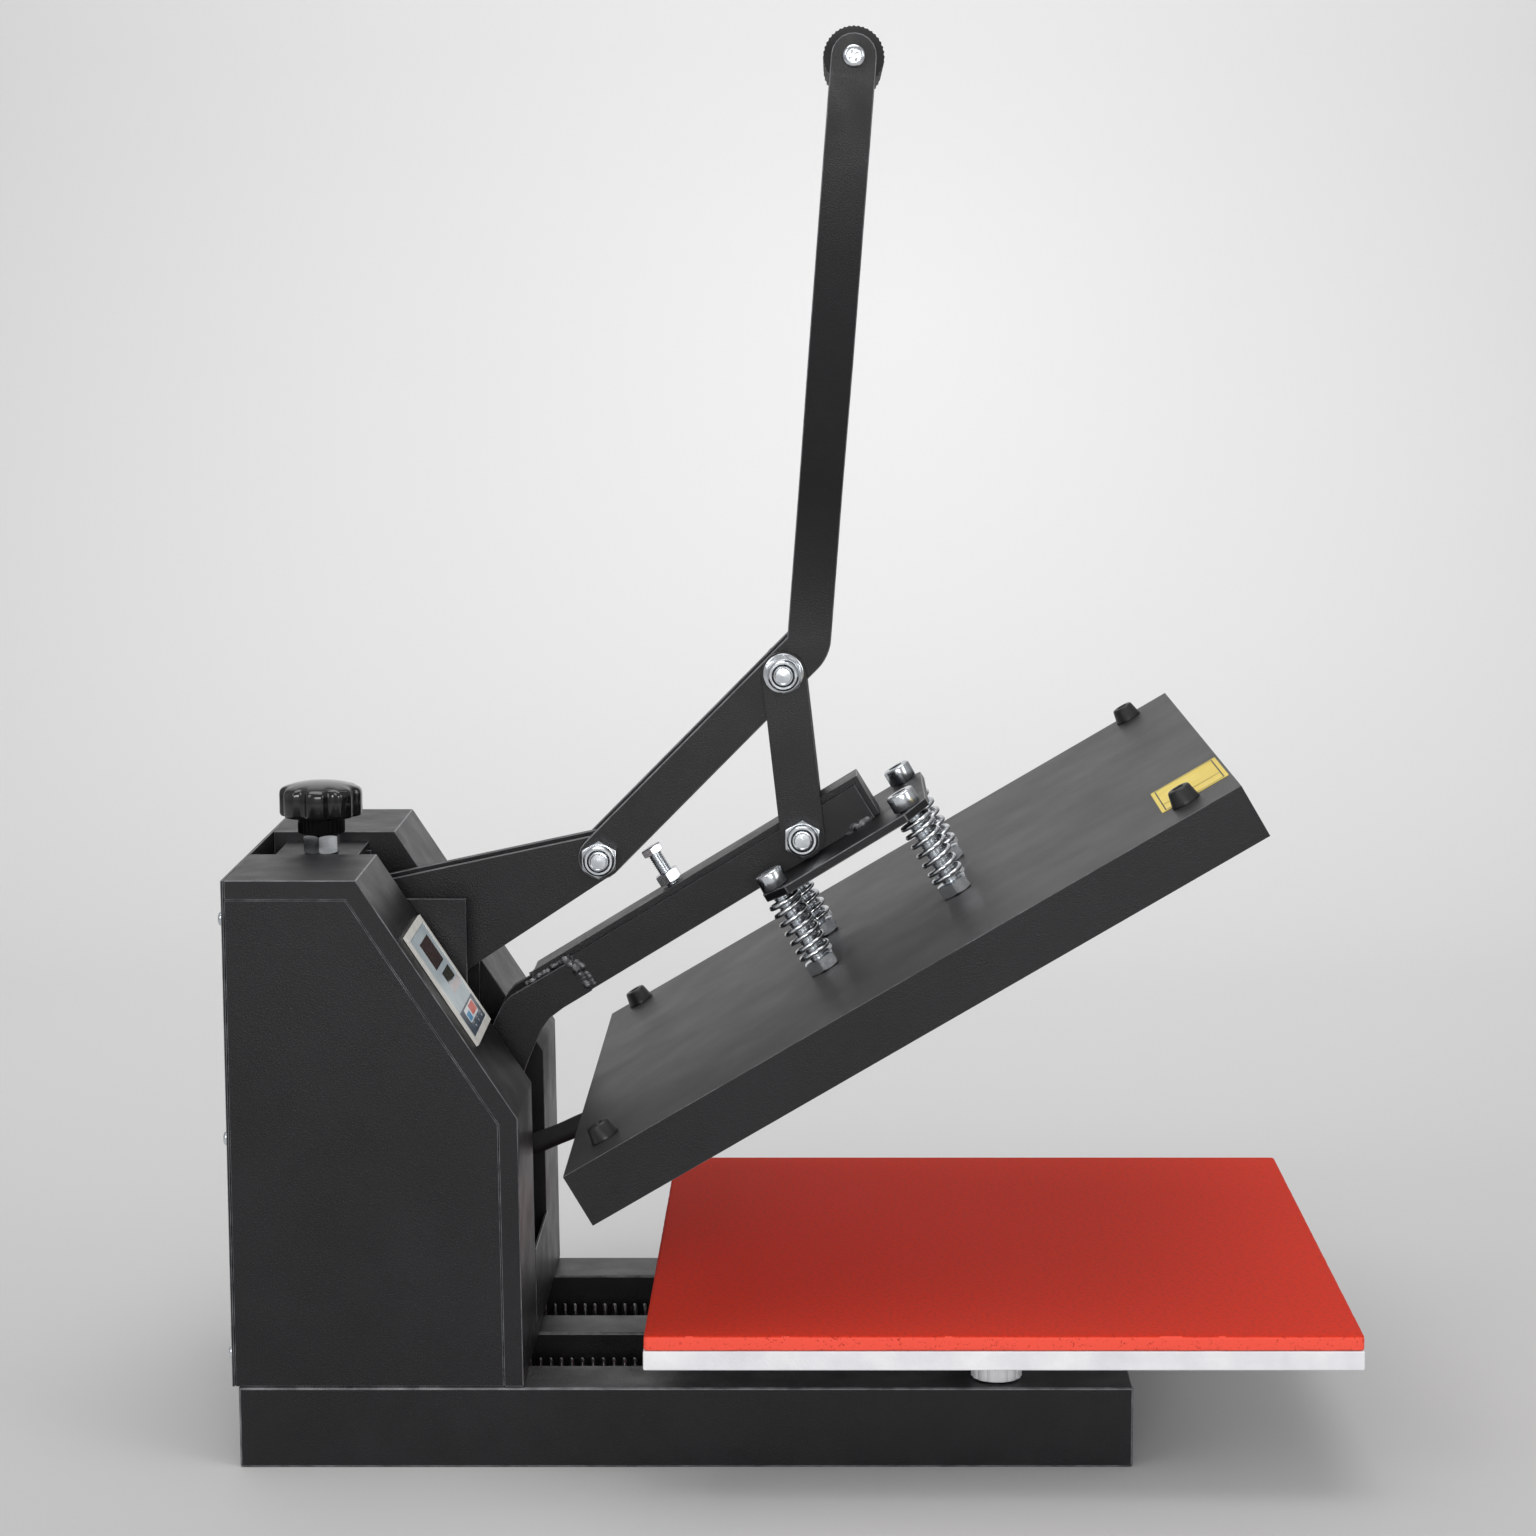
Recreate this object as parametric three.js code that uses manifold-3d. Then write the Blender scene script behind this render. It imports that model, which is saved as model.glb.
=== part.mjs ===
// Clamshell heat press, 380 x 380 mm plates, shown open.
// Millimetres, +Z up, +X to the operator's side. Origin: centre of the base's footprint on the bench.
import * as THREE from 'three';
import { mergeVertices } from 'three/addons/utils/BufferGeometryUtils.js';
import Module from 'manifold-3d';

const wasm = await Module();
wasm.setup();

// ---------------------------------------------------------------- driving dimensions
const GAP = 0.3; // between neighbouring pieces
const SHEET = 1.5; // covers of the tower and the heater
const BASE = { length: 488, width: 256.8, height: 45, rail: 40, end: 40, wall: 3, beam: 35, beamTop: 42 };
const PLATEN = { size: 380, x: 170, under: 74.5, top: 84.8, bossRadius: 13, bossY: 108.5 };
const PAD_TOP = 93;

const TOWER = { rear: -245.5, top: 325.3, bend: -175, kneeX: -90, kneeZ: 195.1, front: -88.5 };
const BOX = { outer: 128.4, inner: 41, flange: 10.5 };
const FRONT_PLATE_TOP = 98;
const MAST = { outer: 36, inner: 33, rear: -238, front: -126, top: 299, stepX: -188, stepTop: 315.4 };

const OPEN_ANGLE = THREE.MathUtils.degToRad(30.48);
const ARM_PIVOT = [-151.6, 98.5]; // [x, z]
const COVER_REAR = [-30, 124.5]; // rear top edge of the heater cover, press closed
const COVER = { length: 404, width: 408, height: 30.2, wall: SHEET };
const HEAT_PLATE = { size: 380, proud: 1, thick: 12, bead: 4 };
const ARM_LEAN = THREE.MathUtils.degToRad(0.92); // of the arm against the heater, which hangs on its springs
const TUBE = { from: 2, to: 225.5, low: 54.2, high: 79.5, half: 14, wall: 2.5 };
const BAR = { thick: 5, low: 53.6, high: 76, weld: 34, step: 146.5, to: 222 };
const CROSS_PLATE = { from: 148.5, to: 254, low: 49, high: 53.9, half: 66, corner: 14 };
const SCREW = { along: [157.5, 243], across: 52, shank: 5, head: 8, headHeight: 9.6, nut: 7.3 };
const SPRING = { outer: 10, wire: 2.5, low: 8.2 };
const STOP_BOLT = { along: 103.2, shank: 4, top: 102.8, nut: 6.5, head: 5.5, width: 13 };

const LEVER_PIVOT = [-51.7, 319.5];
const LINK_TOP = [52.4, 425];
const LINK_LOW = [62.95, 332.13];
const ELBOW = [66.4, 439.2];
const GRIP = [91.2, 761.4];
const FLAT_BAR = 24.6; // width of lever bars and links
const STACK = { bracket: 14, lever: 19.3, link: 24.6 }; // outer faces, measured from the middle plane
const JOG = { from: 92.8, to: 158.8, face: 70 }; // along the handle from its elbow, and its outer face
const ELBOW_RADIUS = 14;
const GRIP_SIZE = { radius: 16.6, bolt: 4, head: 6.2 };

const BRACKET_BOLT = [-143, 258];
const TRUNNION = [-211.5, 285.5];
const KNOB = { radius: 23.5, lobes: 8, under: 341, top: 361, hub: 13, hubUnder: 331, rodLow: 266 };
const BRIDGE = { low: 315.7, high: 319.7, rear: -237, front: -190 };

const PANEL = { from: 41.2, to: 112.5, near: -112, far: -44.8, thick: 1.9, rim: 4, recess: 0.5 };
const EXTENSION = { y: 53, z: 29, outer: 9, wire: 2.6, from: -139.5, to: 203.4 };
const SLEEVE_RADIUS = 6;
const POWER_SIDE = { y: 85, inletZ: 84, switchZ: 128 };

// ---------------------------------------------------------------- materials
function finish(color, roughness, metalness = 0) {
  return new THREE.MeshStandardMaterial({ color, roughness, metalness });
}
const coat = finish(0x2b2c2f, 0.55, 0.3);
const zinc = finish(0xc9cdd2, 0.3, 1);
const castAluminium = finish(0xd9dadd, 0.55, 0.6);
const silicone = finish(0xb3301f, 0.8);
const glossBlack = finish(0x0b0b0c, 0.15);
const rubber = finish(0x121214, 0.85);
const springSteel = finish(0x3a3a3c, 0.35, 1);
const panelPlastic = finish(0xd8dcdf, 0.45);
const windowPlastic = finish(0x1c1414, 0.1);
const keyPlastic = finish(0xb9c0c8, 0.5);
const board = finish(0x1f5a34, 0.6);
const fibre = finish(0xc9c2ae, 0.9);
const inletPlastic = finish(0x151515, 0.45);

// ---------------------------------------------------------------- solids
function solid(geometry) {
  const bare = geometry.clone();
  bare.deleteAttribute('normal');
  bare.deleteAttribute('uv');
  const merged = mergeVertices(bare, 1e-4);
  const vertProperties = new Float32Array(merged.attributes.position.array);
  const triVerts = new Uint32Array(merged.index.array);
  return new wasm.Manifold(new wasm.Mesh({ numProp: 3, vertProperties, triVerts }));
}

function geometryOf(manifold) {
  const mesh = manifold.getMesh();
  const geometry = new THREE.BufferGeometry();
  geometry.setAttribute('position', new THREE.BufferAttribute(mesh.vertProperties, 3));
  geometry.setIndex(new THREE.BufferAttribute(mesh.triVerts, 1));
  return geometry;
}

function join(...geometries) {
  return geometryOf(geometries.map(solid).reduce((sum, piece) => sum.add(piece)));
}

function cut(geometry, ...tools) {
  return geometryOf(tools.map(solid).reduce((rest, tool) => rest.subtract(tool), solid(geometry)));
}

function common(a, b) {
  return geometryOf(solid(a).intersect(solid(b)));
}

function box([x0, x1], [y0, y1], [z0, z1]) {
  const geometry = new THREE.BoxGeometry(x1 - x0, y1 - y0, z1 - z0);
  return geometry.translate((x0 + x1) / 2, (y0 + y1) / 2, (z0 + z1) / 2);
}

// A cylinder or regular prism along Y, Z or X.
function roundY([x, z], radius, y0, y1, sides = 20) {
  return new THREE.CylinderGeometry(radius, radius, y1 - y0, sides).translate(x, (y0 + y1) / 2, z);
}
function roundZ([x, y], radius, z0, z1, sides = 20) {
  return new THREE.CylinderGeometry(radius, radius, z1 - z0, sides).rotateX(Math.PI / 2)
    .translate(x, y, (z0 + z1) / 2);
}
function roundX([y, z], radius, x0, x1, sides = 16) {
  return new THREE.CylinderGeometry(radius, radius, x1 - x0, sides).rotateZ(Math.PI / 2)
    .translate((x0 + x1) / 2, y, z);
}
const hexRadius = (acrossFlats) => acrossFlats / Math.sqrt(3);

// A nut or bolt head along Y, with flats above and below.
function hexY([x, z], acrossFlats, y0, y1) {
  const radius = hexRadius(acrossFlats);
  const geometry = new THREE.CylinderGeometry(radius, radius, Math.abs(y1 - y0), 6);
  return geometry.rotateY(Math.PI / 6).translate(x, (y0 + y1) / 2, z);
}

// A flat plate: an outline of [x, z] points, thick from y0 to y1.
function plate(outline, y0, y1) {
  const shape = new THREE.Shape(outline.map(([x, z]) => new THREE.Vector2(x, z)));
  const [low, high] = y0 < y1 ? [y0, y1] : [y1, y0];
  const geometry = new THREE.ExtrudeGeometry(shape, { depth: high - low, bevelEnabled: false });
  return geometry.rotateX(Math.PI / 2).translate(0, high, 0);
}

// A flat plate seen from above: an outline of [x, y] points, thick from z0 to z1.
function floorPlate(outline, z0, z1) {
  const shape = new THREE.Shape(outline.map(([x, y]) => new THREE.Vector2(x, y)));
  return new THREE.ExtrudeGeometry(shape, { depth: z1 - z0, bevelEnabled: false }).translate(0, 0, z0);
}

function arc([x, z], radius, fromDegrees, toDegrees, steps) {
  return Array.from({ length: steps + 1 }, (_, i) => {
    const angle = THREE.MathUtils.degToRad(fromDegrees + ((toDegrees - fromDegrees) * i) / steps);
    return [x + radius * Math.cos(angle), z + radius * Math.sin(angle)];
  });
}

// Outline of a band of constant width along a centre line, with round or square ends.
function band(line, width, roundEnds = true) {
  const half = width / 2;
  const left = [];
  const right = [];
  line.forEach(([x, z], i) => {
    const before = line[Math.max(i - 1, 0)];
    const after = line[Math.min(i + 1, line.length - 1)];
    const a = new THREE.Vector2(x - before[0], z - before[1]).normalize();
    const b = new THREE.Vector2(after[0] - x, after[1] - z).normalize();
    const along = a.clone().add(b).normalize();
    const atEnd = i === 0 || i === line.length - 1;
    const reach = atEnd ? half : half / Math.sqrt((1 + a.dot(b)) / 2);
    left.push([x - along.y * reach, z + along.x * reach]);
    right.push([x + along.y * reach, z - along.x * reach]);
  });
  if (!roundEnds) return [...right, ...left.reverse()];
  const heading = (p, q) => THREE.MathUtils.radToDeg(Math.atan2(q[1] - p[1], q[0] - p[0]));
  const start = heading(line[1], line[0]);
  const end = heading(line.at(-2), line.at(-1));
  const tip = arc(line.at(-1), half, end - 90, end + 90, 10).slice(1, -1);
  const tail = arc(line[0], half, start - 90, start + 90, 10).slice(1, -1);
  return [...right, ...tip, ...left.reverse(), ...tail];
}

// Centre line through a corner, rounded by a fillet.
function filleted(a, corner, b, radius, steps = 6) {
  const c = new THREE.Vector2(...corner);
  const u = new THREE.Vector2(...a).sub(c).normalize();
  const v = new THREE.Vector2(...b).sub(c).normalize();
  const half = Math.acos(u.dot(v)) / 2;
  const centre = u.clone().add(v).normalize().multiplyScalar(radius / Math.sin(half)).add(c);
  const back = radius / Math.tan(half);
  const from = u.multiplyScalar(back).add(c).sub(centre);
  const turn = Math.PI - 2 * half;
  const sign = Math.sign(from.cross(v.clone().multiplyScalar(back).add(c).sub(centre)));
  const points = Array.from({ length: steps + 1 }, (_, i) => {
    const p = from.clone().rotateAround(new THREE.Vector2(), (sign * turn * i) / steps).add(centre);
    return [p.x, p.y];
  });
  return [a, ...points, b];
}

// Convex outline around circles [x, z, radius].
function hull(circles, steps = 20) {
  const points = circles.flatMap(([x, z, r]) => arc([x, z], r, 0, 360, steps).slice(1));
  points.sort((p, q) => p[0] - q[0] || p[1] - q[1]);
  const turnsLeft = (o, p, q) => (p[0] - o[0]) * (q[1] - o[1]) - (p[1] - o[1]) * (q[0] - o[0]) > 1e-6;
  const chain = (list) => list.reduce((kept, point) => {
    while (kept.length > 1 && !turnsLeft(kept.at(-2), kept.at(-1), point)) kept.pop();
    kept.push(point);
    return kept;
  }, []);
  return [...chain(points).slice(0, -1), ...chain([...points].reverse()).slice(0, -1)];
}

// A ring of rectangular section around Z.
function sleeve([x, y], inner, outer, z0, z1, sides = 20) {
  const profile = [[inner, z0], [outer, z0], [outer, z1], [inner, z1], [inner, z0]];
  const geometry = new THREE.LatheGeometry(profile.map(([r, z]) => new THREE.Vector2(r, z)), sides);
  return geometry.rotateX(Math.PI / 2).translate(x, y, 0);
}

// ---------------------------------------------------------------- scene graph
const press = new THREE.Group();
const pivot = new THREE.Group();
pivot.position.set(ARM_PIVOT[0], 0, ARM_PIVOT[1]);
pivot.rotation.y = -OPEN_ANGLE;
const closed = new THREE.Group(); // holds the swinging half, drawn as it lies with the press closed
closed.position.set(-ARM_PIVOT[0], 0, -ARM_PIVOT[1]);
pivot.add(closed);
press.add(pivot);

function add(name, geometry, material, parent = press) {
  const mesh = new THREE.Mesh(geometry, material);
  mesh.name = name;
  parent.add(mesh);
  return mesh;
}

// A point of the swinging half: along the cover from its rear edge, and above its top.
const onCover = (along, above) => [COVER_REAR[0] + along, COVER_REAR[1] + above];

// Where a point of the open press lies when it is closed.
function whenClosed([x, z]) {
  const p = new THREE.Vector2(x, z).rotateAround(new THREE.Vector2(...ARM_PIVOT), -OPEN_ANGLE);
  return [p.x, p.y];
}

const sides = [['near', -1], ['far', 1]];

// The arm's own frame: it leans a little about the links' lower pivot.
const linkLowClosed = whenClosed(LINK_LOW);
const leaning = new THREE.Group();
const arm = new THREE.Group();
leaning.position.set(linkLowClosed[0], 0, linkLowClosed[1]);
leaning.rotation.y = -ARM_LEAN;
arm.position.set(-linkLowClosed[0], 0, -linkLowClosed[1]);
leaning.add(arm);
closed.add(leaning);

// How far the lean lifts the arm at a place along the cover.
const lift = (along) => (COVER_REAR[0] + along - linkLowClosed[0]) * Math.tan(ARM_LEAN);

// ---------------------------------------------------------------- base
function baseFrame() {
  const { length, width, height, rail, end, wall } = BASE;
  const x = length / 2;
  const y = width / 2;
  const body = box([-x, x], [-y, y], [0, height]);
  const trough = box([-x + end, x - end], [-y + rail, y - rail], [-1, height + 1]);
  const under = height - wall;
  const railHollow = (side) => {
    const span = [side * (y - wall), side * (y - rail + wall)].sort((a, b) => a - b);
    return box([-x + wall, x - wall], span, [-1, under]);
  };
  const endHollow = (side) => {
    const span = [side * (x - wall), side * (x - end + wall)].sort((a, b) => a - b);
    return box(span, [-y + wall, y - wall], [-1, under]);
  };
  return cut(body, trough, railHollow(-1), railHollow(1), endHollow(-1), endHollow(1));
}

function centreBeam() {
  const x = BASE.length / 2 - BASE.end - GAP;
  const half = BASE.beam / 2;
  const wall = BASE.wall;
  const body = box([-x, x], [-half, half], [0, BASE.beamTop]);
  return cut(body, box([-x - 1, x + 1], [-half + wall, half - wall], [wall, BASE.beamTop - wall]));
}

add('base_frame', baseFrame(), coat);
add('base_centre_beam', centreBeam(), coat);

// ---------------------------------------------------------------- lower platen and pad
function lowerPlaten() {
  const half = PLATEN.size / 2;
  const slab = box([PLATEN.x - half, PLATEN.x + half], [-half, half], [PLATEN.under, PLATEN.top]);
  const bosses = [-PLATEN.bossY, 0, PLATEN.bossY].map((y) => {
    const foot = y === 0 ? BASE.beamTop : BASE.height;
    return roundZ([PLATEN.x, y], PLATEN.bossRadius, foot + GAP, PLATEN.under + 1);
  });
  return join(slab, ...bosses);
}

add('lower_platen', lowerPlaten(), castAluminium);
const padHalf = PLATEN.size / 2;
const padX = [PLATEN.x - padHalf, PLATEN.x + padHalf];
add('silicone_pad', box(padX, [-padHalf, padHalf], [PLATEN.top + GAP, PAD_TOP]), silicone);

// ---------------------------------------------------------------- tower
const towerFoot = BASE.height + 0.6;
const towerOutline = [
  [TOWER.rear, TOWER.top],
  [TOWER.bend, TOWER.top],
  [TOWER.kneeX, TOWER.kneeZ],
  [TOWER.front, towerFoot],
];
const slope = new THREE.Vector2(TOWER.kneeX - TOWER.bend, TOWER.kneeZ - TOWER.top).normalize();

// The outline's top, slope and front as a strip that reaches `depth` inwards.
function coverStrip(depth) {
  const inset = insetOutline(depth);
  return [...towerOutline, ...inset.reverse()];
}

function insetOutline(depth) {
  const bend = (a, b, c) => {
    const u = new THREE.Vector2(b[0] - a[0], b[1] - a[1]).normalize();
    const v = new THREE.Vector2(c[0] - b[0], c[1] - b[1]).normalize();
    const normal = new THREE.Vector2(u.y + v.y, -u.x - v.x).normalize();
    const reach = depth / Math.sqrt((1 + u.dot(v)) / 2);
    return [b[0] + normal.x * reach, b[1] + normal.y * reach];
  };
  const [rear, top, knee, foot] = towerOutline;
  const upperBend = bend(rear, top, knee);
  const lowerBend = bend(top, knee, foot);
  return [[rear[0], rear[1] - depth], upperBend, lowerBend, [foot[0] - depth, foot[1]]];
}

function towerCover(side) {
  const outer = side * BOX.outer;
  const inner = side * BOX.inner;
  const wrap = plate(coverStrip(SHEET), outer, inner);
  const flange = plate(coverStrip(BOX.flange), outer, outer - side * SHEET);
  const innerWall = plate([...towerOutline, [TOWER.rear, towerFoot]], inner, inner + side * SHEET);
  const shaftHole = roundY(ARM_PIVOT, 10, -BOX.outer / 2 - 5, BOX.outer / 2 + 5, 16);
  return cut(join(wrap, flange, innerWall), shaftHole);
}

function towerPanel(side) {
  const outline = [...insetOutline(BOX.flange + GAP), [TOWER.rear, towerFoot]];
  return plate(outline, side * (BOX.outer - 0.4), side * (BOX.outer - 0.4 - SHEET));
}

for (const [name, side] of sides) {
  add(`tower_${name}_cover`, towerCover(side), coat);
  add(`tower_${name}_panel`, towerPanel(side), coat);
}

function rearPanel() {
  const face = TOWER.rear - GAP;
  const sheet = box([face - SHEET, face], [-BOX.outer, BOX.outer], [towerFoot, TOWER.top]);
  const { y, inletZ, switchZ } = POWER_SIDE;
  const through = [face - SHEET - 1, face + 1];
  const inletHole = box(through, [y - 14, y + 14], [inletZ - 10, inletZ + 10]);
  const switchHole = box(through, [y - 6.5, y + 6.5], [switchZ - 10.4, switchZ + 10.4]);
  return cut(sheet, inletHole, switchHole);
}

add('rear_panel', rearPanel(), coat);
const betweenBoxes = [-BOX.inner + GAP, BOX.inner - GAP];
add('slot_plate', box([TOWER.front - SHEET, TOWER.front], betweenBoxes, [towerFoot, FRONT_PLATE_TOP]), coat);

// ---------------------------------------------------------------- mast
function mastPlate(side) {
  const outline = [
    [MAST.rear, towerFoot],
    [MAST.front, towerFoot],
    [MAST.front, MAST.top],
    [MAST.stepX, MAST.top],
    [MAST.stepX, MAST.stepTop],
    [MAST.rear, MAST.stepTop],
  ];
  const blank = plate(outline, side * MAST.outer, side * MAST.inner);
  const drill = (at, radius) => roundY(at, radius, -50, 50, 16);
  return cut(blank, drill(ARM_PIVOT, 8.3), drill(BRACKET_BOLT, 6.3));
}

for (const [name, side] of sides) add(`mast_${name}_plate`, mastPlate(side), coat);

const bridgeBlank = box([BRIDGE.rear, BRIDGE.front], betweenBoxes, [BRIDGE.low, BRIDGE.high]);
add('mast_bridge', cut(bridgeBlank, roundZ([TRUNNION[0], 0], 6.4, 300, 330)), coat);

// Thin-headed bolt that spans the mast.
function mastBolt(at) {
  const reach = BOX.inner - GAP;
  const head = (side) => hexY(at, 18, side * reach, side * (MAST.outer + GAP));
  return join(roundY(at, 6, -MAST.outer - 1, MAST.outer + 1, 16), head(-1), head(1));
}
add('bracket_bolt', mastBolt(BRACKET_BOLT), zinc);

// ---------------------------------------------------------------- anchor bracket
function bracketPlate(side) {
  const outline = hull([[...LEVER_PIVOT, 12.3], [...TRUNNION, 12], [...BRACKET_BOLT, 11.4]]);
  const blank = plate(outline, side * STACK.bracket, side * (STACK.bracket - BAR.thick));
  const drill = (at, radius) => roundY(at, radius, -50, 50, 16);
  return cut(blank, drill(LEVER_PIVOT, 6.3), drill(BRACKET_BOLT, 6.3), drill(TRUNNION, 5.3));
}
for (const [name, side] of sides) add(`bracket_${name}_plate`, bracketPlate(side), coat);

function trunnionNut() {
  const half = STACK.bracket - BAR.thick - GAP;
  const body = roundY(TRUNNION, 11, -half, half);
  const pins = roundY(TRUNNION, 5, -STACK.bracket, STACK.bracket, 16);
  return cut(join(body, pins), roundZ([TRUNNION[0], 0], 7.4, TRUNNION[1] - 20, TRUNNION[1] + 20));
}
add('pressure_trunnion', trunnionNut(), zinc);

// A pivot bolt with its head on the far side and a locking nut on the near side.
function pivotBolt(at, face) {
  const start = face + GAP;
  const shaft = roundY(at, 6, -start - 13, start + 1, 16);
  const nut = hexY(at, 19, -start - 8.5, -start);
  const collar = roundY(at, 8.6, -start - 12, -start - 8, 20);
  const head = hexY(at, 18, start, start + 7.5);
  return join(shaft, nut, collar, head);
}
add('lever_pivot_bolt', pivotBolt(LEVER_PIVOT, STACK.lever), zinc);

// ---------------------------------------------------------------- lever
const handleAxis = new THREE.Vector2(GRIP[0] - ELBOW[0], GRIP[1] - ELBOW[1]).normalize();

// The bar's edge view: straight beside the links, then out to the grip's end.
function leverEdge(side) {
  const low = side * (STACK.lever - BAR.thick / 2);
  const high = side * (JOG.face - BAR.thick / 2);
  const line = [[-250, low], [JOG.from, low], [JOG.to, high], [420, high]];
  const shape = new THREE.Shape(band(line, BAR.thick, false).map((p) => new THREE.Vector2(...p)));
  const extrusion = new THREE.ExtrudeGeometry(shape, { depth: 600, bevelEnabled: false });
  const geometry = extrusion.translate(0, 0, -300);
  const along = new THREE.Vector3(handleAxis.x, 0, handleAxis.y);
  const across = new THREE.Vector3(0, 1, 0);
  const basis = new THREE.Matrix4().makeBasis(along, across, along.clone().cross(across));
  return geometry.applyMatrix4(basis.setPosition(ELBOW[0], 0, ELBOW[1]));
}

function leverBar(side) {
  const outline = band(filleted(LEVER_PIVOT, ELBOW, GRIP, ELBOW_RADIUS), FLAT_BAR);
  const blank = common(plate(outline, side * 10, side * 80), leverEdge(side));
  const drill = (at, radius) => roundY(at, radius, -90, 90, 16);
  return cut(blank, drill(LEVER_PIVOT, 6.3), drill(GRIP, GRIP_SIZE.bolt + GAP));
}
for (const [name, side] of sides) add(`lever_${name}_bar`, leverBar(side), coat);

function gripTube() {
  const reach = JOG.face - BAR.thick - GAP;
  const ribs = 11;
  const profile = [[GRIP_SIZE.bolt + GAP, -reach], [GRIP_SIZE.radius, -reach]];
  for (let i = 1; i < ribs; i += 1) {
    const y = -reach + (2 * reach * i) / ribs;
    profile.push([GRIP_SIZE.radius, y - 1], [GRIP_SIZE.radius - 0.9, y], [GRIP_SIZE.radius, y + 1]);
  }
  profile.push([GRIP_SIZE.radius, reach], [GRIP_SIZE.bolt + GAP, reach], [GRIP_SIZE.bolt + GAP, -reach]);
  const geometry = new THREE.LatheGeometry(profile.map(([r, y]) => new THREE.Vector2(r, y)), 20);
  return geometry.translate(GRIP[0], 0, GRIP[1]);
}
add('grip', gripTube(), rubber);

function gripBolt() {
  const face = JOG.face + GAP;
  const shaft = roundY(GRIP, GRIP_SIZE.bolt, -face - 1, face + 1, 16);
  const ends = (side) => [side * face, side * (face + 3)].sort((a, b) => a - b);
  const head = (side) => roundY(GRIP, GRIP_SIZE.head, ...ends(side));
  return join(shaft, head(-1), head(1));
}
add('grip_bolt', gripBolt(), zinc);

// ---------------------------------------------------------------- links
function linkPlate(side) {
  const outline = band([LINK_TOP, LINK_LOW], FLAT_BAR);
  const blank = plate(outline, side * STACK.link, side * (STACK.link - BAR.thick));
  const drill = (at, radius) => roundY(at, radius, -50, 50, 16);
  return cut(blank, drill(LINK_TOP, 6.3), drill(LINK_LOW, 6.3));
}

// The links' upper bolts end inside the link, so the lever bars pass beside them.
function linkStud(side) {
  const face = STACK.link + GAP;
  const span = (a, b) => [side * a, side * b].sort((p, q) => p - q);
  const shank = roundY(LINK_TOP, 6, ...span(STACK.link - BAR.thick, face + 13), 16);
  const nut = hexY(LINK_TOP, 19, side * face, side * (face + 8.5));
  const collar = roundY(LINK_TOP, 8.6, ...span(face + 8, face + 12));
  return join(shank, nut, collar);
}
for (const [name, side] of sides) {
  add(`link_${name}`, linkPlate(side), coat);
  add(`link_${name}_stud`, linkStud(side), zinc);
}

// ---------------------------------------------------------------- swinging arm
function armTube() {
  const { from, to, low, high, half, wall } = TUBE;
  const [x0, z0] = onCover(from, low);
  const [x1, z1] = onCover(to, high);
  const outer = plate([[x0, z0], [x1, z0], [x1, z1], [x0 + 8, z1], [x0, z1 - 9]], -half, half);
  const bore = box([x0 - 1, x1 - wall], [-half + wall, half - wall], [z0 + wall, z1 - wall]);
  const stopHole = roundZ([COVER_REAR[0] + STOP_BOLT.along, 0], STOP_BOLT.shank + GAP, z1 - 5, z1 + 5, 16);
  return cut(outer, bore, roundY(linkLowClosed, 6.3, -50, 50, 16), stopHole);
}
add('arm_tube', armTube(), coat, arm);

// Side bar of the arm: straight beside the tube, then kneed down to the shaft.
function armBar(side) {
  const pivotPoint = new THREE.Vector2(...ARM_PIVOT);
  const hub = pivotPoint.rotateAround(new THREE.Vector2(...linkLowClosed), -ARM_LEAN).toArray();
  const outline = [
    onCover(BAR.to, BAR.high),
    onCover(BAR.weld, BAR.high),
    onCover(BAR.weld - 1, 73.9),
    onCover(-9, 74.4),
    onCover(-15, 72.4),
    onCover(-23, 67.3),
    ...arc(hub, 20, 125, 306, 12),
    onCover(-21.8, 35.6),
    onCover(-3.4, 48.7),
    onCover(4, 52),
    onCover(14, 53),
    onCover(BAR.weld - 1, 53),
    onCover(BAR.weld, BAR.low),
    onCover(BAR.step, BAR.low),
    onCover(BAR.step, TUBE.low),
    onCover(BAR.to, TUBE.low),
  ];
  const inner = TUBE.half + GAP;
  const blank = plate(outline, side * inner, side * (inner + BAR.thick));
  return cut(blank, roundY(hub, 14.3, -50, 50), roundY(linkLowClosed, 6.3, -50, 50, 16));
}
for (const [name, side] of sides) add(`arm_${name}_bar`, armBar(side), coat, arm);

// The shaft turns in the mast. Its thick middle is the hub that the side bars are welded to, and the horn
// below each end stretches a long spring as the arm comes down.
function armShaft() {
  const profile = [[0, -58], [8, -58], [8, -32.4], [14, -32.4], [14, 32.4], [8, 32.4], [8, 58], [0, 58]];
  const shaft = new THREE.LatheGeometry(profile.map(([r, y]) => new THREE.Vector2(r, y)), 20)
    .translate(ARM_PIVOT[0], 0, ARM_PIVOT[1]);
  return join(shaft, springHorn(-1), springHorn(1));
}

function springHorn(side) {
  const tip = [ARM_PIVOT[0], EXTENSION.z];
  const outline = hull([[...ARM_PIVOT, 13], [...tip, 7]]);
  const blank = plate(outline, side * (EXTENSION.y - 2.5), side * (EXTENSION.y + 2.5));
  return cut(blank, roundY(tip, 3, -70, 70, 12));
}
add('arm_shaft', armShaft(), coat);

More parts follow.
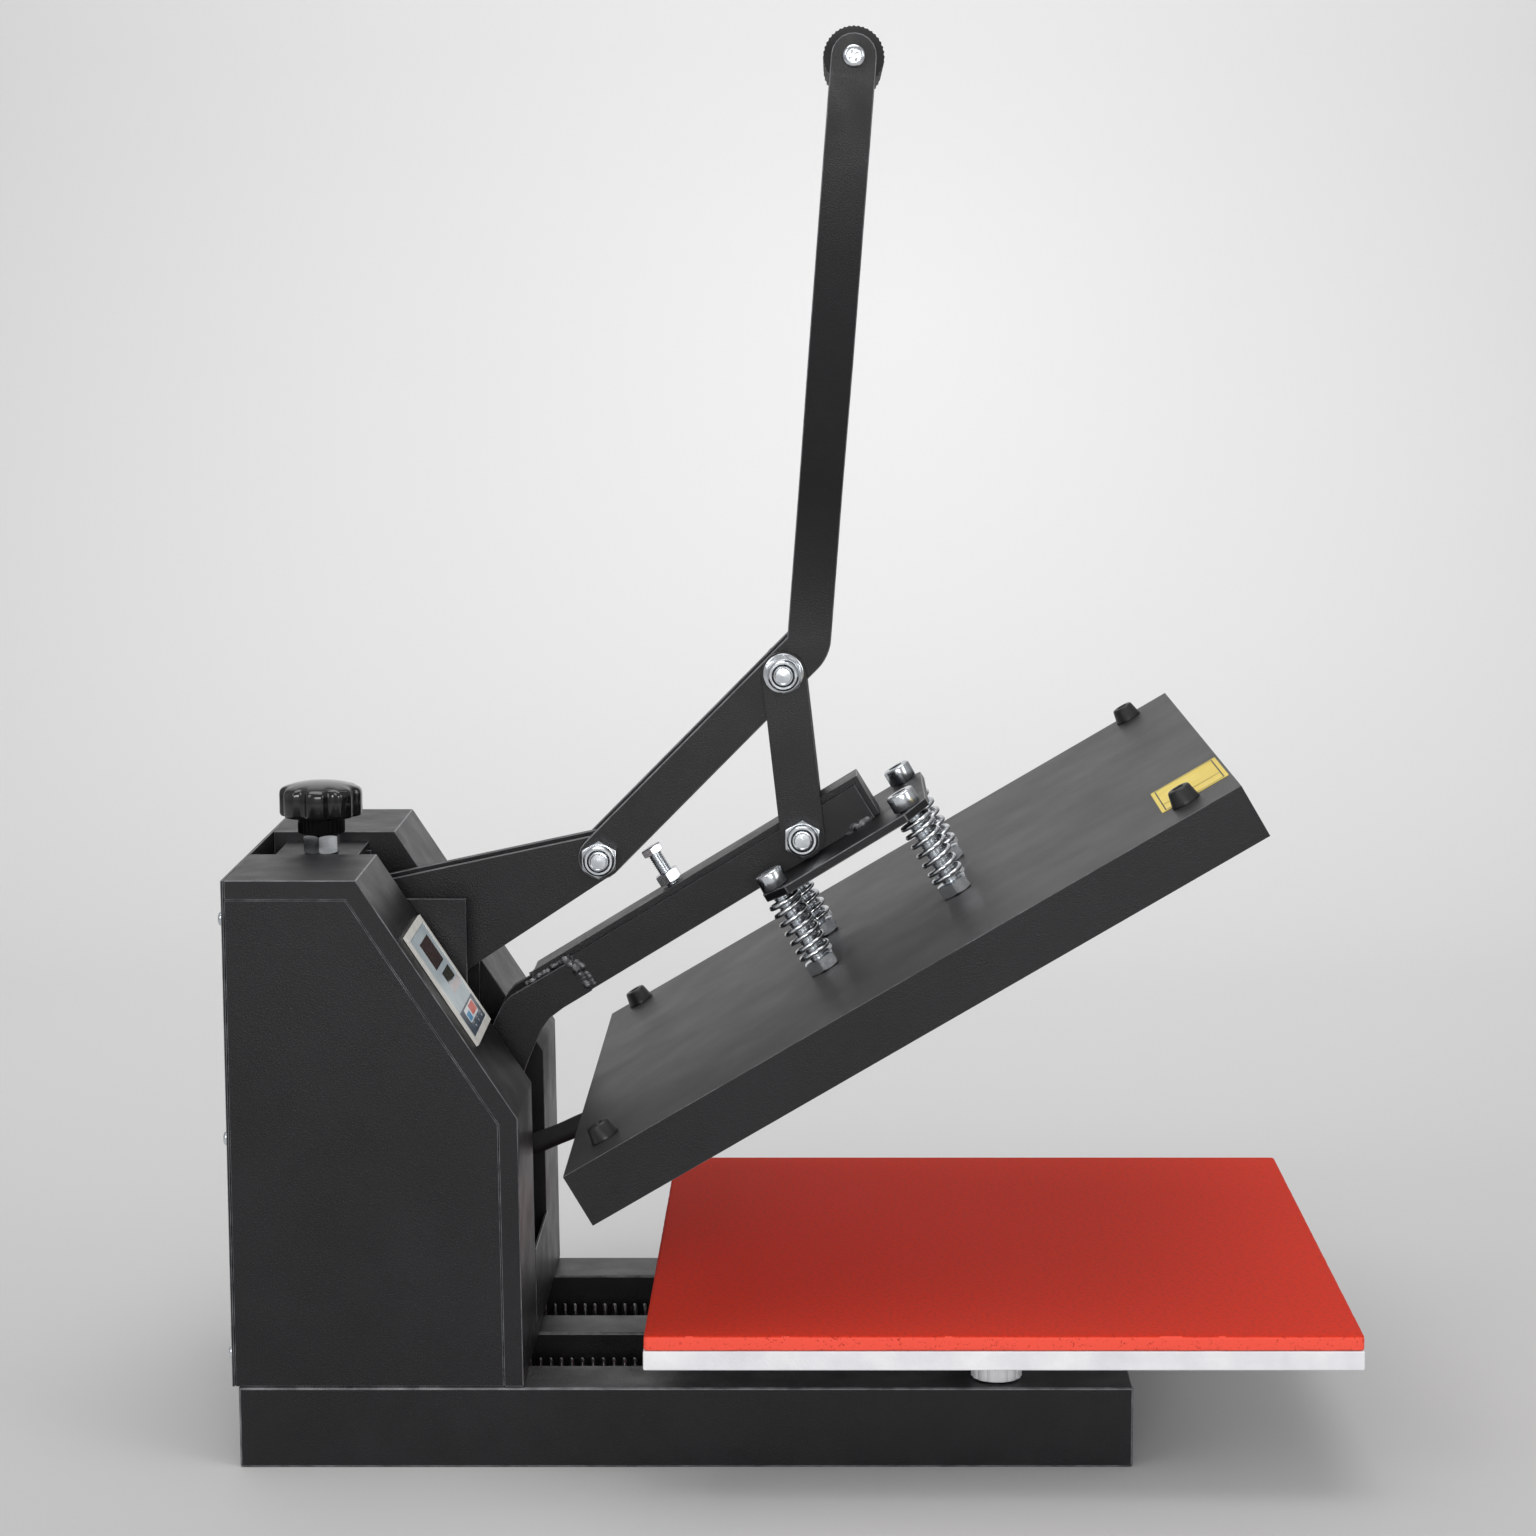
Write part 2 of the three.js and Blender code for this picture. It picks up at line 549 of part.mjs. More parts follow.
function crossPlate() {
  const { from, to, low, high, half, corner } = CROSS_PLATE;
  const [x0, z0] = onCover(from, low);
  const [x1, z1] = onCover(to, high);
  const outline = [
    [x0 + corner, -half], [x1 - corner, -half], [x1, -half + corner], [x1, half - corner],
    [x1 - corner, half], [x0 + corner, half], [x0, half - corner], [x0, -half + corner],
  ];
  const holes = screwPlaces.map(([x, y]) => roundZ([x, y], SCREW.shank + 0.6, z0 - 1, z1 + 1, 16));
  return cut(floorPlate(outline, z0, z1), ...holes);
}

const screwRow = (side) => SCREW.along.map((r) => [COVER_REAR[0] + r, side * SCREW.across]);
const screwPlaces = [...screwRow(-1), ...screwRow(1)];
add('cross_plate', crossPlate(), coat, arm);

function stopBolt() {
  const at = [COVER_REAR[0] + STOP_BOLT.along, 0];
  const seat = COVER_REAR[1] + TUBE.high + GAP;
  const top = COVER_REAR[1] + STOP_BOLT.top;
  const shank = roundZ(at, STOP_BOLT.shank, seat - 4, top - 1, 16);
  const nut = roundZ(at, hexRadius(STOP_BOLT.width), seat, seat + STOP_BOLT.nut, 6);
  const head = roundZ(at, hexRadius(STOP_BOLT.width), top - STOP_BOLT.head, top, 6);
  return join(shank, nut, head);
}
add('stop_bolt', stopBolt(), zinc, arm);
add('link_low_bolt', pivotBolt(linkLowClosed, STACK.link), zinc, closed);

// ---------------------------------------------------------------- heater on its four screws
function heaterCover() {
  const { length, width, height, wall } = COVER;
  const [x0, top] = COVER_REAR;
  const shell = box([x0, x0 + length], [-width / 2, width / 2], [top - height, top]);
  const inX = [x0 + wall, x0 + length - wall];
  const inY = [-width / 2 + wall, width / 2 - wall];
  const inside = box(inX, inY, [top - height - 1, top - wall]);
  return cut(shell, inside, ...screwPlaces.map((at) => roundZ(at, SCREW.shank + GAP, top - 5, top + 5, 16)));
}
add('heater_cover', heaterCover(), coat, closed);

const heaterX = COVER_REAR[0] + COVER.length / 2;
const plateLow = COVER_REAR[1] - COVER.height - HEAT_PLATE.proud;
const plateHigh = plateLow + HEAT_PLATE.thick;

// Cast plate with the tubular element cast in, which shows as a ridge that winds across its back.
function heatPlate() {
  const half = HEAT_PLATE.size / 2;
  const slab = box([heaterX - half, heaterX + half], [-half, half], [plateLow, plateHigh]);
  const runs = [-150, -90, -30, 30, 90, 150];
  const reach = half - 30;
  const line = runs.flatMap((y, i) => (i % 2 ? [[heaterX + reach, y], [heaterX - reach, y]]
    : [[heaterX - reach, y], [heaterX + reach, y]]));
  return join(slab, floorPlate(band(line, 9, false), plateHigh - 1, plateHigh + HEAT_PLATE.bead));
}
add('heat_plate', heatPlate(), castAluminium, closed);

function insulation() {
  const half = HEAT_PLATE.size / 2 - 4;
  const z = [plateHigh + HEAT_PLATE.bead + GAP, COVER_REAR[1] - COVER.wall - GAP];
  const slab = box([heaterX - half, heaterX + half], [-half, half], z);
  return cut(slab, ...screwPlaces.map((at) => roundZ(at, SCREW.shank + 1, z[0] - 1, z[1] + 1, 12)));
}
add('insulation', insulation(), fibre, closed);

// Cap screw whose head rests on the cross plate.
function platenScrew(at) {
  const level = COVER_REAR[1];
  const seat = level + CROSS_PLATE.high + lift(at[0] - COVER_REAR[0]) + 0.5;
  const headTop = seat + SCREW.headHeight;
  const head = roundZ(at, SCREW.head, seat, headTop);
  const socket = roundZ(at, hexRadius(8), headTop - 5, headTop + 1, 6);
  const shank = roundZ(at, SCREW.shank, plateHigh + HEAT_PLATE.bead + GAP, seat + 1, 16);
  const nut = roundZ(at, hexRadius(17), level + GAP, level + GAP + SCREW.nut, 6);
  return cut(join(head, shank, nut), socket);
}

const corners = ['rear_near', 'front_near', 'rear_far', 'front_far'];
corners.forEach((name, i) => {
  const at = screwPlaces[i];
  const level = COVER_REAR[1];
  const inner = SPRING.outer - SPRING.wire;
  const springTop = level + CROSS_PLATE.low + lift(at[0] - COVER_REAR[0]) - 0.5;
  add(`platen_screw_${name}`, platenScrew(at), zinc, closed);
  const spring = sleeve(at, inner, SPRING.outer, level + SPRING.low, springTop, 16);
  add(`platen_spring_${name}`, spring, zinc, closed);
});

// ---------------------------------------------------------------- pressure knob
function knobShape() {
  const points = [];
  const steps = KNOB.lobes * 8;
  for (let i = 0; i < steps; i += 1) {
    const angle = (i / steps) * 2 * Math.PI;
    const radius = KNOB.radius - 1.3 + 1.3 * Math.tanh(2.2 * Math.cos(KNOB.lobes * angle) + 1);
    points.push([TRUNNION[0] + radius * Math.cos(angle), radius * Math.sin(angle)]);
  }
  return points;
}

function pressureKnob() {
  const grip = floorPlate(knobShape(), KNOB.under, KNOB.top - 4);
  const at = [TRUNNION[0], 0];
  const domeRadius = 64;
  const dome = new THREE.SphereGeometry(domeRadius, 40, 40, 0, Math.PI * 2, 0, Math.PI).rotateX(Math.PI / 2)
    .translate(at[0], at[1], KNOB.top - domeRadius);
  const top = common(dome, floorPlate(knobShape(), KNOB.top - 5, KNOB.top + 1));
  const hub = roundZ(at, KNOB.hub, KNOB.hubUnder, KNOB.under + 1);
  const bore = roundZ(at, 6 + GAP, KNOB.hubUnder - 1, KNOB.under - 2, 16);
  return cut(join(grip, top, hub), bore);
}
add('pressure_knob', pressureKnob(), glossBlack);

function pressureScrew() {
  const at = [TRUNNION[0], 0];
  const nut = roundZ(at, hexRadius(19), BRIDGE.high + GAP, KNOB.hubUnder - GAP, 6);
  return join(roundZ(at, 6, KNOB.rodLow, KNOB.under - 3, 16), nut);
}
add('pressure_screw', pressureScrew(), zinc);

// ---------------------------------------------------------------- control panel on the near slope
// Local frame: x down the slope, y across the press, z out of the slope.
const slopeFrame = new THREE.Group();
slopeFrame.position.set(TOWER.bend, 0, TOWER.top);
slopeFrame.rotation.y = Math.atan2(-slope.y, slope.x);
press.add(slopeFrame);

const windows = [[[51.3, 68], [-91.7, -58.7]], [[71.7, 79], [-84.3, -57.7]]];
const keys = [[105.4, -88], [105.4, -74], [105.4, -60]];
const faceLevel = PANEL.thick - PANEL.recess;

function controlBezel() {
  const { from, to, near, far, thick, rim } = PANEL;
  const body = box([from, to], [near, far], [GAP, thick]);
  const recess = box([from + rim, to - rim], [near + rim, far - rim], [faceLevel, thick + 1]);
  const openings = windows.map(([x, y]) => box([x[0] - GAP, x[1] + GAP], [y[0] - GAP, y[1] + GAP], [-5, 9]));
  const keyHoles = keys.map(([x, y]) => box([x - 3, x + 3], [y - 5, y + 5], [-5, 9]));
  return cut(body, recess, ...openings, ...keyHoles);
}
add('control_bezel', controlBezel(), panelPlastic, slopeFrame);

windows.forEach(([x, y], i) => {
  add(['display_upper', 'display_lower'][i], box(x, y, [GAP, faceLevel + 0.2]), windowPlastic, slopeFrame);
});
keys.forEach(([x, y], i) => {
  const cap = box([x - 2.6, x + 2.6], [y - 4.6, y + 4.6], [GAP + 0.9, faceLevel + 0.3]);
  add(['key_set', 'key_down', 'key_up'][i], cap, keyPlastic, slopeFrame);
});

function controlBoard() {
  const sheet = box([44, 109], [-109, -48], [-12, -10.4]);
  const parts = [
    box([50, 80], [-95, -56], [-11, -4]),
    box([86, 102], [-106, -92], [-26, -11]),
    box([56, 74], [-106, -88], [-22, -11]),
    box([60, 70], [-72, -54], [-18, -11]),
  ];
  return join(sheet, ...parts);
}
add('control_board', controlBoard(), board, slopeFrame);

// ---------------------------------------------------------------- power inlet and switch on the rear panel
function powerInlet() {
  const { y, inletZ } = POWER_SIDE;
  const face = TOWER.rear - GAP - SHEET;
  const flange = box([face - GAP - 2, face - GAP], [y - 18, y + 18], [inletZ - 13, inletZ + 13]);
  const body = box([face - 2, face + 22], [y - 13.5, y + 13.5], [inletZ - 9.5, inletZ + 9.5]);
  const well = box([face - 4, face + 16], [y - 11, y + 11], [inletZ - 7, inletZ + 7]);
  const pins = [-7, 0, 7].map((dy, i) => {
    const z = inletZ + (i === 1 ? 2 : -1);
    return box([face - 1, face + 18], [y + dy - 1, y + dy + 1], [z - 2, z + 2]);
  });
  return join(cut(join(flange, body), well), ...pins);
}
add('power_inlet', powerInlet(), inletPlastic);

function powerRocker() {
  const { y, switchZ } = POWER_SIDE;
  const x = TOWER.rear - GAP;
  const outline = [
    [x + 6, switchZ - 6], [x + 6, switchZ + 6], [x - 1, switchZ + 8.6],
    [x - 5.4, switchZ + 8.6], [x - 2.6, switchZ], [x - 2.6, switchZ - 8.6], [x - 0.6, switchZ - 8.6],
  ];
  return plate(outline, y - 5.8, y + 5.8);
}
add('power_rocker', powerRocker(), glossBlack);

// ---------------------------------------------------------------- long springs and cable sleeve
function extensionSpring(side) {
  const at = [side * EXTENSION.y, EXTENSION.z];
  const body = roundX(at, EXTENSION.outer, EXTENSION.from, EXTENSION.to, 14);
  const bore = roundX(at, EXTENSION.outer - EXTENSION.wire, EXTENSION.from - 1, EXTENSION.to + 1, 14);
  return cut(body, bore);
}
for (const [name, side] of sides) add(`extension_spring_${name}`, extensionSpring(side), springSteel);

function cableSleeve() {
  const route = new THREE.CatmullRomCurve3([
    new THREE.Vector3(-122, 0, 134),
    new THREE.Vector3(-108, 0, 142),
    new THREE.Vector3(-91, 0, 149.6),
    new THREE.Vector3(-72, 0, 157.5),
    new THREE.Vector3(-54.6, 0, 165.6),
  ]);
  const ring = arc([0, 0], SLEEVE_RADIUS, 0, 360, 10).slice(1);
  const section = new THREE.Shape(ring.map((p) => new THREE.Vector2(...p)));
  return new THREE.ExtrudeGeometry(section, { steps: 6, extrudePath: route, bevelEnabled: false });
}
add('cable_sleeve', cableSleeve(), rubber);

export default press;
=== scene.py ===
import math

import bmesh
import bpy
from mathutils import Matrix, Vector, noise


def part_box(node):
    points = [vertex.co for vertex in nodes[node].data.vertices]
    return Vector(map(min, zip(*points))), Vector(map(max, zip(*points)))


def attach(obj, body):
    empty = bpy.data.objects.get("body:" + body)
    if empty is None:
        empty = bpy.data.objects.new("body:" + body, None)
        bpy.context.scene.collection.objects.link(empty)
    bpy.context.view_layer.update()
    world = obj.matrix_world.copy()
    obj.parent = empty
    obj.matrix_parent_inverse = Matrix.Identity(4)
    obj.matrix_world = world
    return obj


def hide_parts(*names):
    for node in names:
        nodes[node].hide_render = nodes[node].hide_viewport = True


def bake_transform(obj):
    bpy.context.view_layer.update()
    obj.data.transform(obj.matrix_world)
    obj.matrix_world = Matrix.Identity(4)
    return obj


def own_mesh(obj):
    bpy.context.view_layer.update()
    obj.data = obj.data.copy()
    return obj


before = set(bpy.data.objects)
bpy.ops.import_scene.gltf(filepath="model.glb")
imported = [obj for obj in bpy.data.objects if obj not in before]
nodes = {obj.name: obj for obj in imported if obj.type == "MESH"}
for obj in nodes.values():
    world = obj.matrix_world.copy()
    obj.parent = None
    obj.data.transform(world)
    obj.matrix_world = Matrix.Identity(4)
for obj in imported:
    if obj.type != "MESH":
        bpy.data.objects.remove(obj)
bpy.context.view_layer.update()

MM = 0.001

OPEN = math.radians(30.48)
COVER_LENGTH = 404
heater_low, heater_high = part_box("heater_cover")
COVER_REAR = Vector((heater_low.x / MM, 0, heater_high.z / MM - COVER_LENGTH * math.sin(OPEN)))
tower_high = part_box("tower_near_cover")[1]
pad_low, pad_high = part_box("silicone_pad")
ARM_LEAN = math.radians(0.92)


def axes(origin, x, z):
    """The matrix of a local frame, in millimetres, with the given x and z directions."""
    x, z = Vector(x).normalized(), Vector(z).normalized()
    y = z.cross(x)
    basis = Matrix((x, y, z)).transposed().to_4x4()
    return Matrix.Translation(Vector(origin)) @ basis


ALONG_COVER = (math.cos(OPEN), 0, math.sin(OPEN))
OFF_COVER = (-math.sin(OPEN), 0, math.cos(OPEN))
cover_frame = axes(COVER_REAR, ALONG_COVER, OFF_COVER)
TOWER_BEND_X = -175
SLOPE_RUN, SLOPE_DROP = 85, 130.2
SLOPE = Vector((SLOPE_RUN, 0, -SLOPE_DROP)).normalized()
slope_frame = axes((TOWER_BEND_X, 0, tower_high.z / MM), SLOPE, (-SLOPE.z, 0, SLOPE.x))


def on_cover(along, across, above):
    """A place measured from the lid's rear edge."""
    return cover_frame @ Vector((along, across, above))


# ------------------------------------------------------------------ material kit
def srgb(red, green, blue):
    """A linear colour from 0 to 255 screen values."""
    def linear(v):
        v /= 255
        return v / 12.92 if v <= 0.04045 else ((v + 0.055) / 1.055) ** 2.4
    return (linear(red), linear(green), linear(blue), 1)


def new_material(name):
    material = bpy.data.materials.new(name)
    material.use_nodes = True
    tree = material.node_tree
    shader = tree.nodes["Principled BSDF"]
    return material, tree, shader


def add_noise(tree, scale, detail=3.0, stretch=(1, 1, 1)):
    """Noise over object coordinates, with scale in cells per metre."""
    coordinates = tree.nodes.new("ShaderNodeTexCoord")
    mapping = tree.nodes.new("ShaderNodeMapping")
    mapping.inputs["Scale"].default_value = stretch
    texture = tree.nodes.new("ShaderNodeTexNoise")
    texture.inputs["Scale"].default_value = scale
    texture.inputs["Detail"].default_value = detail
    tree.links.new(coordinates.outputs["Object"], mapping.inputs["Vector"])
    tree.links.new(mapping.outputs["Vector"], texture.inputs["Vector"])
    return texture.outputs["Fac"]


def add_ramp(tree, factor, stops):
    ramp = tree.nodes.new("ShaderNodeValToRGB")
    elements = ramp.color_ramp.elements
    while len(elements) < len(stops):
        elements.new(0.5)
    for element, (position, colour) in zip(elements, stops):
        element.position = position
        element.color = colour
    tree.links.new(factor, ramp.inputs["Fac"])
    return ramp.outputs["Color"]


def add_range(tree, factor, low, high, start=0.3, end=0.7):
    node = tree.nodes.new("ShaderNodeMapRange")
    node.inputs["From Min"].default_value = start
    node.inputs["From Max"].default_value = end
    node.inputs["To Min"].default_value = low
    node.inputs["To Max"].default_value = high
    tree.links.new(factor, node.inputs["Value"])
    return node.outputs["Result"]


def add_bump(tree, shader, height, distance, strength=1.0):
    bump = tree.nodes.new("ShaderNodeBump")
    bump.inputs["Distance"].default_value = distance * MM
    bump.inputs["Strength"].default_value = strength
    tree.links.new(height, bump.inputs["Height"])
    tree.links.new(bump.outputs["Normal"], shader.inputs["Normal"])


def make_finish(name, dark, light, rough, grain, bump, metallic=0.0, mottle=14, stretch=(1, 1, 1),
                coat=0.0, specular=0.5):
    """Mottled colour between two tones, roughness that varies, and a fine grain in relief.

    The tones are screen values, grain and mottle are in cells per metre, and bump is in millimetres.
    """
    material, tree, shader = new_material(name)
    shader.inputs["Metallic"].default_value = metallic
    shader.inputs["Coat Weight"].default_value = coat
    shader.inputs["Specular IOR Level"].default_value = specular
    broad = add_noise(tree, mottle, 5, stretch)
    colour = add_ramp(tree, broad, [(0.3, srgb(*dark)), (0.7, srgb(*light))])
    tree.links.new(colour, shader.inputs["Base Color"])
    fine = add_noise(tree, grain, 2, stretch)
    patches = add_noise(tree, mottle * 3.5, 4)
    tree.links.new(add_range(tree, patches, *rough), shader.inputs["Roughness"])
    add_bump(tree, shader, fine, bump)
    return material


def make_sponge(name, dark, light, pore):
    """Foam: fine cells, with darker open pores. pore is how much the cells count against the speckle."""
    cell_scale, speckle_scale = 900, 420
    material, tree, shader = new_material(name)
    shader.inputs["Specular IOR Level"].default_value = 0.12
    cells = tree.nodes.new("ShaderNodeTexVoronoi")
    cells.inputs["Scale"].default_value = cell_scale
    coordinates = tree.nodes.new("ShaderNodeTexCoord")
    tree.links.new(coordinates.outputs["Object"], cells.inputs["Vector"])
    speckle = add_noise(tree, speckle_scale, 4)
    mixed = tree.nodes.new("ShaderNodeMath")
    mixed.operation = "MULTIPLY_ADD"
    mixed.inputs[1].default_value = pore
    tree.links.new(cells.outputs["Distance"], mixed.inputs[0])
    tree.links.new(speckle, mixed.inputs[2])
    colour = add_ramp(tree, mixed.outputs[0], [(0.36, srgb(*dark)), (0.62, srgb(*light))])
    tree.links.new(colour, shader.inputs["Base Color"])
    tree.links.new(add_range(tree, speckle, 0.62, 0.85), shader.inputs["Roughness"])
    add_bump(tree, shader, mixed.outputs[0], 0.18, 0.7)
    return material


# ------------------------------------------------------------------ materials
powder = make_finish("powder_coat", (15, 15, 18), (23, 23, 26), (0.34, 0.46), 1300, 0.16, specular=0.38)
# A lighter copy of the powder coat for the bevelled edges: a painted edge highlight.
painted_edge_highlight = make_finish("powder_coat_painted_edge_highlight", (66, 67, 70), (120, 121, 124), (0.26, 0.4), 1500, 0.03,
                          mottle=120)
# A lighter copy of the powder coat for the lid's upward faces: painted light from above.
lid_painted_top_light = make_finish("lid_powder_coat_painted_top_light", (38, 37, 37), (43, 41, 41), (0.42, 0.5), 1300, 0.14, mottle=7,
                       stretch=(0.5, 1.6, 0.5))
zinc = make_finish("bright_zinc", (196, 201, 207), (232, 235, 238), (0.16, 0.27), 900, 0.006, 1.0, 60)
spring_zinc = make_finish("spring_zinc", (200, 204, 208), (234, 237, 240), (0.14, 0.24), 700, 0.005, 1.0,
                          80)
aluminium = make_finish("cast_aluminium_skin", (228, 228, 233), (248, 248, 250), (0.5, 0.7), 620, 0.12,
                        0.0, 45)
dark_spring = make_finish("oiled_spring_steel", (66, 66, 68), (110, 110, 112), (0.25, 0.42), 900, 0.03,
                          0.9, 60)
gloss = make_finish("gloss_black_plastic", (12, 12, 13), (20, 20, 21), (0.1, 0.2), 500, 0.02, coat=0.4)
rubber = make_finish("ribbed_black_rubber", (20, 20, 21), (32, 32, 33), (0.55, 0.75), 1300, 0.06)
bumper_rubber = make_finish("bumper_rubber", (16, 16, 17), (30, 30, 31), (0.32, 0.5), 1100, 0.04)
# Dark paint on the weld, with light patches that stand in for glints: painted highlights.
weld_paint_and_painted_glints = make_finish("painted_weld", (30, 30, 32), (128, 128, 131), (0.18, 0.4), 420, 0.8, 0.4, 300)
bezel_plastic = make_finish("bezel_plastic", (216, 214, 208), (236, 234, 228), (0.35, 0.5), 900, 0.03,
                            mottle=60)
face_film = make_finish("panel_face_film", (176, 190, 197), (200, 210, 215), (0.3, 0.45), 1400, 0.02,
                        mottle=50)
slate_film = make_finish("slate_film", (62, 72, 86), (82, 92, 106), (0.3, 0.45), 1400, 0.02, mottle=60)
patch_film = make_finish("pale_patch_film", (196, 184, 186), (212, 202, 203), (0.3, 0.45), 1400, 0.02,
                         mottle=60)
white_film = make_finish("white_film", (226, 232, 236), (244, 246, 248), (0.3, 0.45), 1400, 0.02, mottle=60)
red_film = make_finish("red_film", (206, 84, 70), (232, 112, 96), (0.3, 0.45), 1400, 0.02, mottle=60)
blue_film = make_finish("blue_film", (64, 138, 186), (96, 168, 210), (0.3, 0.45), 1400, 0.02, mottle=60)
red_window = make_finish("red_display", (40, 24, 22), (66, 34, 30), (0.08, 0.18), 900, 0.01, mottle=70,
                         coat=0.5)
olive_window = make_finish("olive_display", (34, 36, 24), (48, 50, 32), (0.08, 0.18), 900, 0.01, mottle=70,
                           coat=0.5)
label_yellow = make_finish("label_yellow", (226, 196, 62), (240, 214, 84), (0.35, 0.5), 900, 0.02,
                           mottle=40)
label_ink = make_finish("label_ink", (40, 38, 30), (62, 58, 44), (0.4, 0.6), 900, 0.02, mottle=60)
board = make_finish("circuit_board_lacquer", (22, 70, 40), (36, 96, 56), (0.3, 0.5), 500, 0.08, mottle=90)
fibre = make_finish("mineral_fibre_slab", (176, 166, 140), (208, 200, 178), (0.85, 0.95), 350, 0.5,
                    mottle=90, stretch=(0.3, 1, 1))
inlet = make_finish("inlet_moulding", (20, 20, 21), (34, 34, 35), (0.4, 0.55), 800, 0.05)
sponge_top = make_sponge("sponge_skin", (196, 47, 28), (220, 58, 38), 0.12)
sponge_cut = make_sponge("sponge_cut_edge", (176, 44, 34), (252, 92, 74), 0.5)


# ------------------------------------------------------------------ mesh kit
POINT = 0.01  # the radius of a ring that closes a shape on its axis


def circle(radius, steps):
    """Points of a ring as (x, y). radius is a number or a function of the angle."""
    angles = [2 * math.pi * i / steps for i in range(steps)]
    radii = [radius(a) if callable(radius) else radius for a in angles]
    return [(r * math.cos(a), r * math.sin(a)) for r, a in zip(radii, angles)]


def stack(rows, base=0):
    """Rings from (outline, height) pairs, with the heights counted from base."""
    return [[Vector((x, y, base + height)) for x, y in outline] for outline, height in rows]


def hexagon(across):
    """The radius of a hexagon at an angle."""
    def radius(angle):
        turn = (angle + math.pi / 6) % (math.pi / 3) - math.pi / 6
        return across / 2 / math.cos(turn)
    return radius


def turned(profile, steps=48):
    """Rings of a turned shape from (radius, height) pairs."""
    return stack([(circle(max(radius, POINT), steps), height) for radius, height in profile])


def build(name, material, rings_list, place=Matrix.Identity(4), smooth=40):
    """One mesh from lists of rings. Each list is a tube of rings with equal numbers of points."""
    mesh = bmesh.new()
    for rings in rings_list:
        rows = [[mesh.verts.new(place @ p) for p in ring] for ring in rings]
        count = len(rows[0])
        for low, high in zip(rows, rows[1:]):
            for i in range(count):
                j = (i + 1) % count
                mesh.faces.new((low[i], low[j], high[j], high[i]))
        mesh.faces.new(rows[0][::-1])
        mesh.faces.new(rows[-1])
    return finish_mesh(name, mesh, material, smooth)


def finish_mesh(name, mesh, material, smooth):
    """Turns a mesh in millimetres into an object in metres, with sharp edges over the angle smooth."""
    mesh.verts.ensure_lookup_table()
    bmesh.ops.recalc_face_normals(mesh, faces=mesh.faces)
    bmesh.ops.scale(mesh, vec=(MM, MM, MM), verts=mesh.verts)
    data = bpy.data.meshes.new(name)
    mesh.to_mesh(data)
    mesh.free()
    data.shade_smooth()
    data.set_sharp_from_angle(angle=math.radians(smooth))
    data.materials.append(material)
    thing = bpy.data.objects.new(name, data)
    bpy.context.scene.collection.objects.link(thing)
    return thing


def sweep(line, radius, sides=12):
    """Rings of a round bar along a line. radius is a number or a function of the share of the way."""
    line = [Vector(p) for p in line]
    rings = []
    tangent = (line[1] - line[0]).normalized()
    across = tangent.orthogonal().normalized()
    for i, point in enumerate(line):
        after, before = line[min(i + 1, len(line) - 1)], line[max(i - 1, 0)]
        heading = (after - before).normalized()
        across = (tangent.rotation_difference(heading) @ across).normalized()
        tangent = heading
        up = tangent.cross(across)
        size = radius(i / (len(line) - 1)) if callable(radius) else radius
        rings.append([point + size * (across * math.cos(a) + up * math.sin(a))
                      for a in (2 * math.pi * k / sides for k in range(sides))])
    return rings


def nut_rings(across, low, high, bore=0.0, steps=72):
    """A hexagon nut or head whose corners are chamfered top and bottom."""
    outline = hexagon(across)
    face = across / 2 * 0.985
    inner = max(bore, POINT)
    angles = [2 * math.pi * i / steps for i in range(steps)]
    drops = [max(0, outline(a) - face) * math.tan(math.radians(30)) for a in angles]

    def corner_ring(height, direction):
        points = circle(outline, steps)
        return [Vector((x, y, height + direction * drop)) for (x, y), drop in zip(points, drops)]

    bottom = stack([(circle(inner, steps), low), (circle(face, steps), low)])
    top = stack([(circle(face, steps), high), (circle(inner, steps), high)])
    return [*bottom, corner_ring(low, 1), corner_ring(high, -1), *top]


def thread_profile(radius, low, high, pitch=1.25, depth=0.5):
    """The turned outline of a threaded stretch."""
    profile = [(0, low), (radius - depth, low)]
    count = max(1, int((high - low) / pitch))
    for i in range(count):
        start = low + (high - low) * i / count
        step = (high - low) / count
        profile += [(radius - depth, start + 0.1 * step), (radius, start + 0.45 * step),
                    (radius, start + 0.6 * step), (radius - depth, start + 0.95 * step)]
    return profile + [(radius - depth, high), (0, high)]


def slab(name, material, x, y, z, place, corner=0.4, steps=6):
    """A thin plate with rounded corners. x, y and z are its (low, high) limits."""
    corners = [(x[1], y[1], 0), (x[0], y[1], 90), (x[0], y[0], 180), (x[1], y[0], 270)]
    outline = []
    for cx, cy, start in corners:
        sx = cx - corner if cx == x[1] else cx + corner
        sy = cy - corner if cy == y[1] else cy + corner
        for k in range(steps + 1):
            a = math.radians(start + 90 * k / steps)
            outline.append((sx + corner * math.cos(a), sy + corner * math.sin(a)))
    return build(name, material, [stack([(outline, height) for height in z])], place)


WELD_DISTANCE = 2e-5  # metres
FLAT_ANGLE, EDGE_ANGLE = math.radians(0.6), math.radians(40)


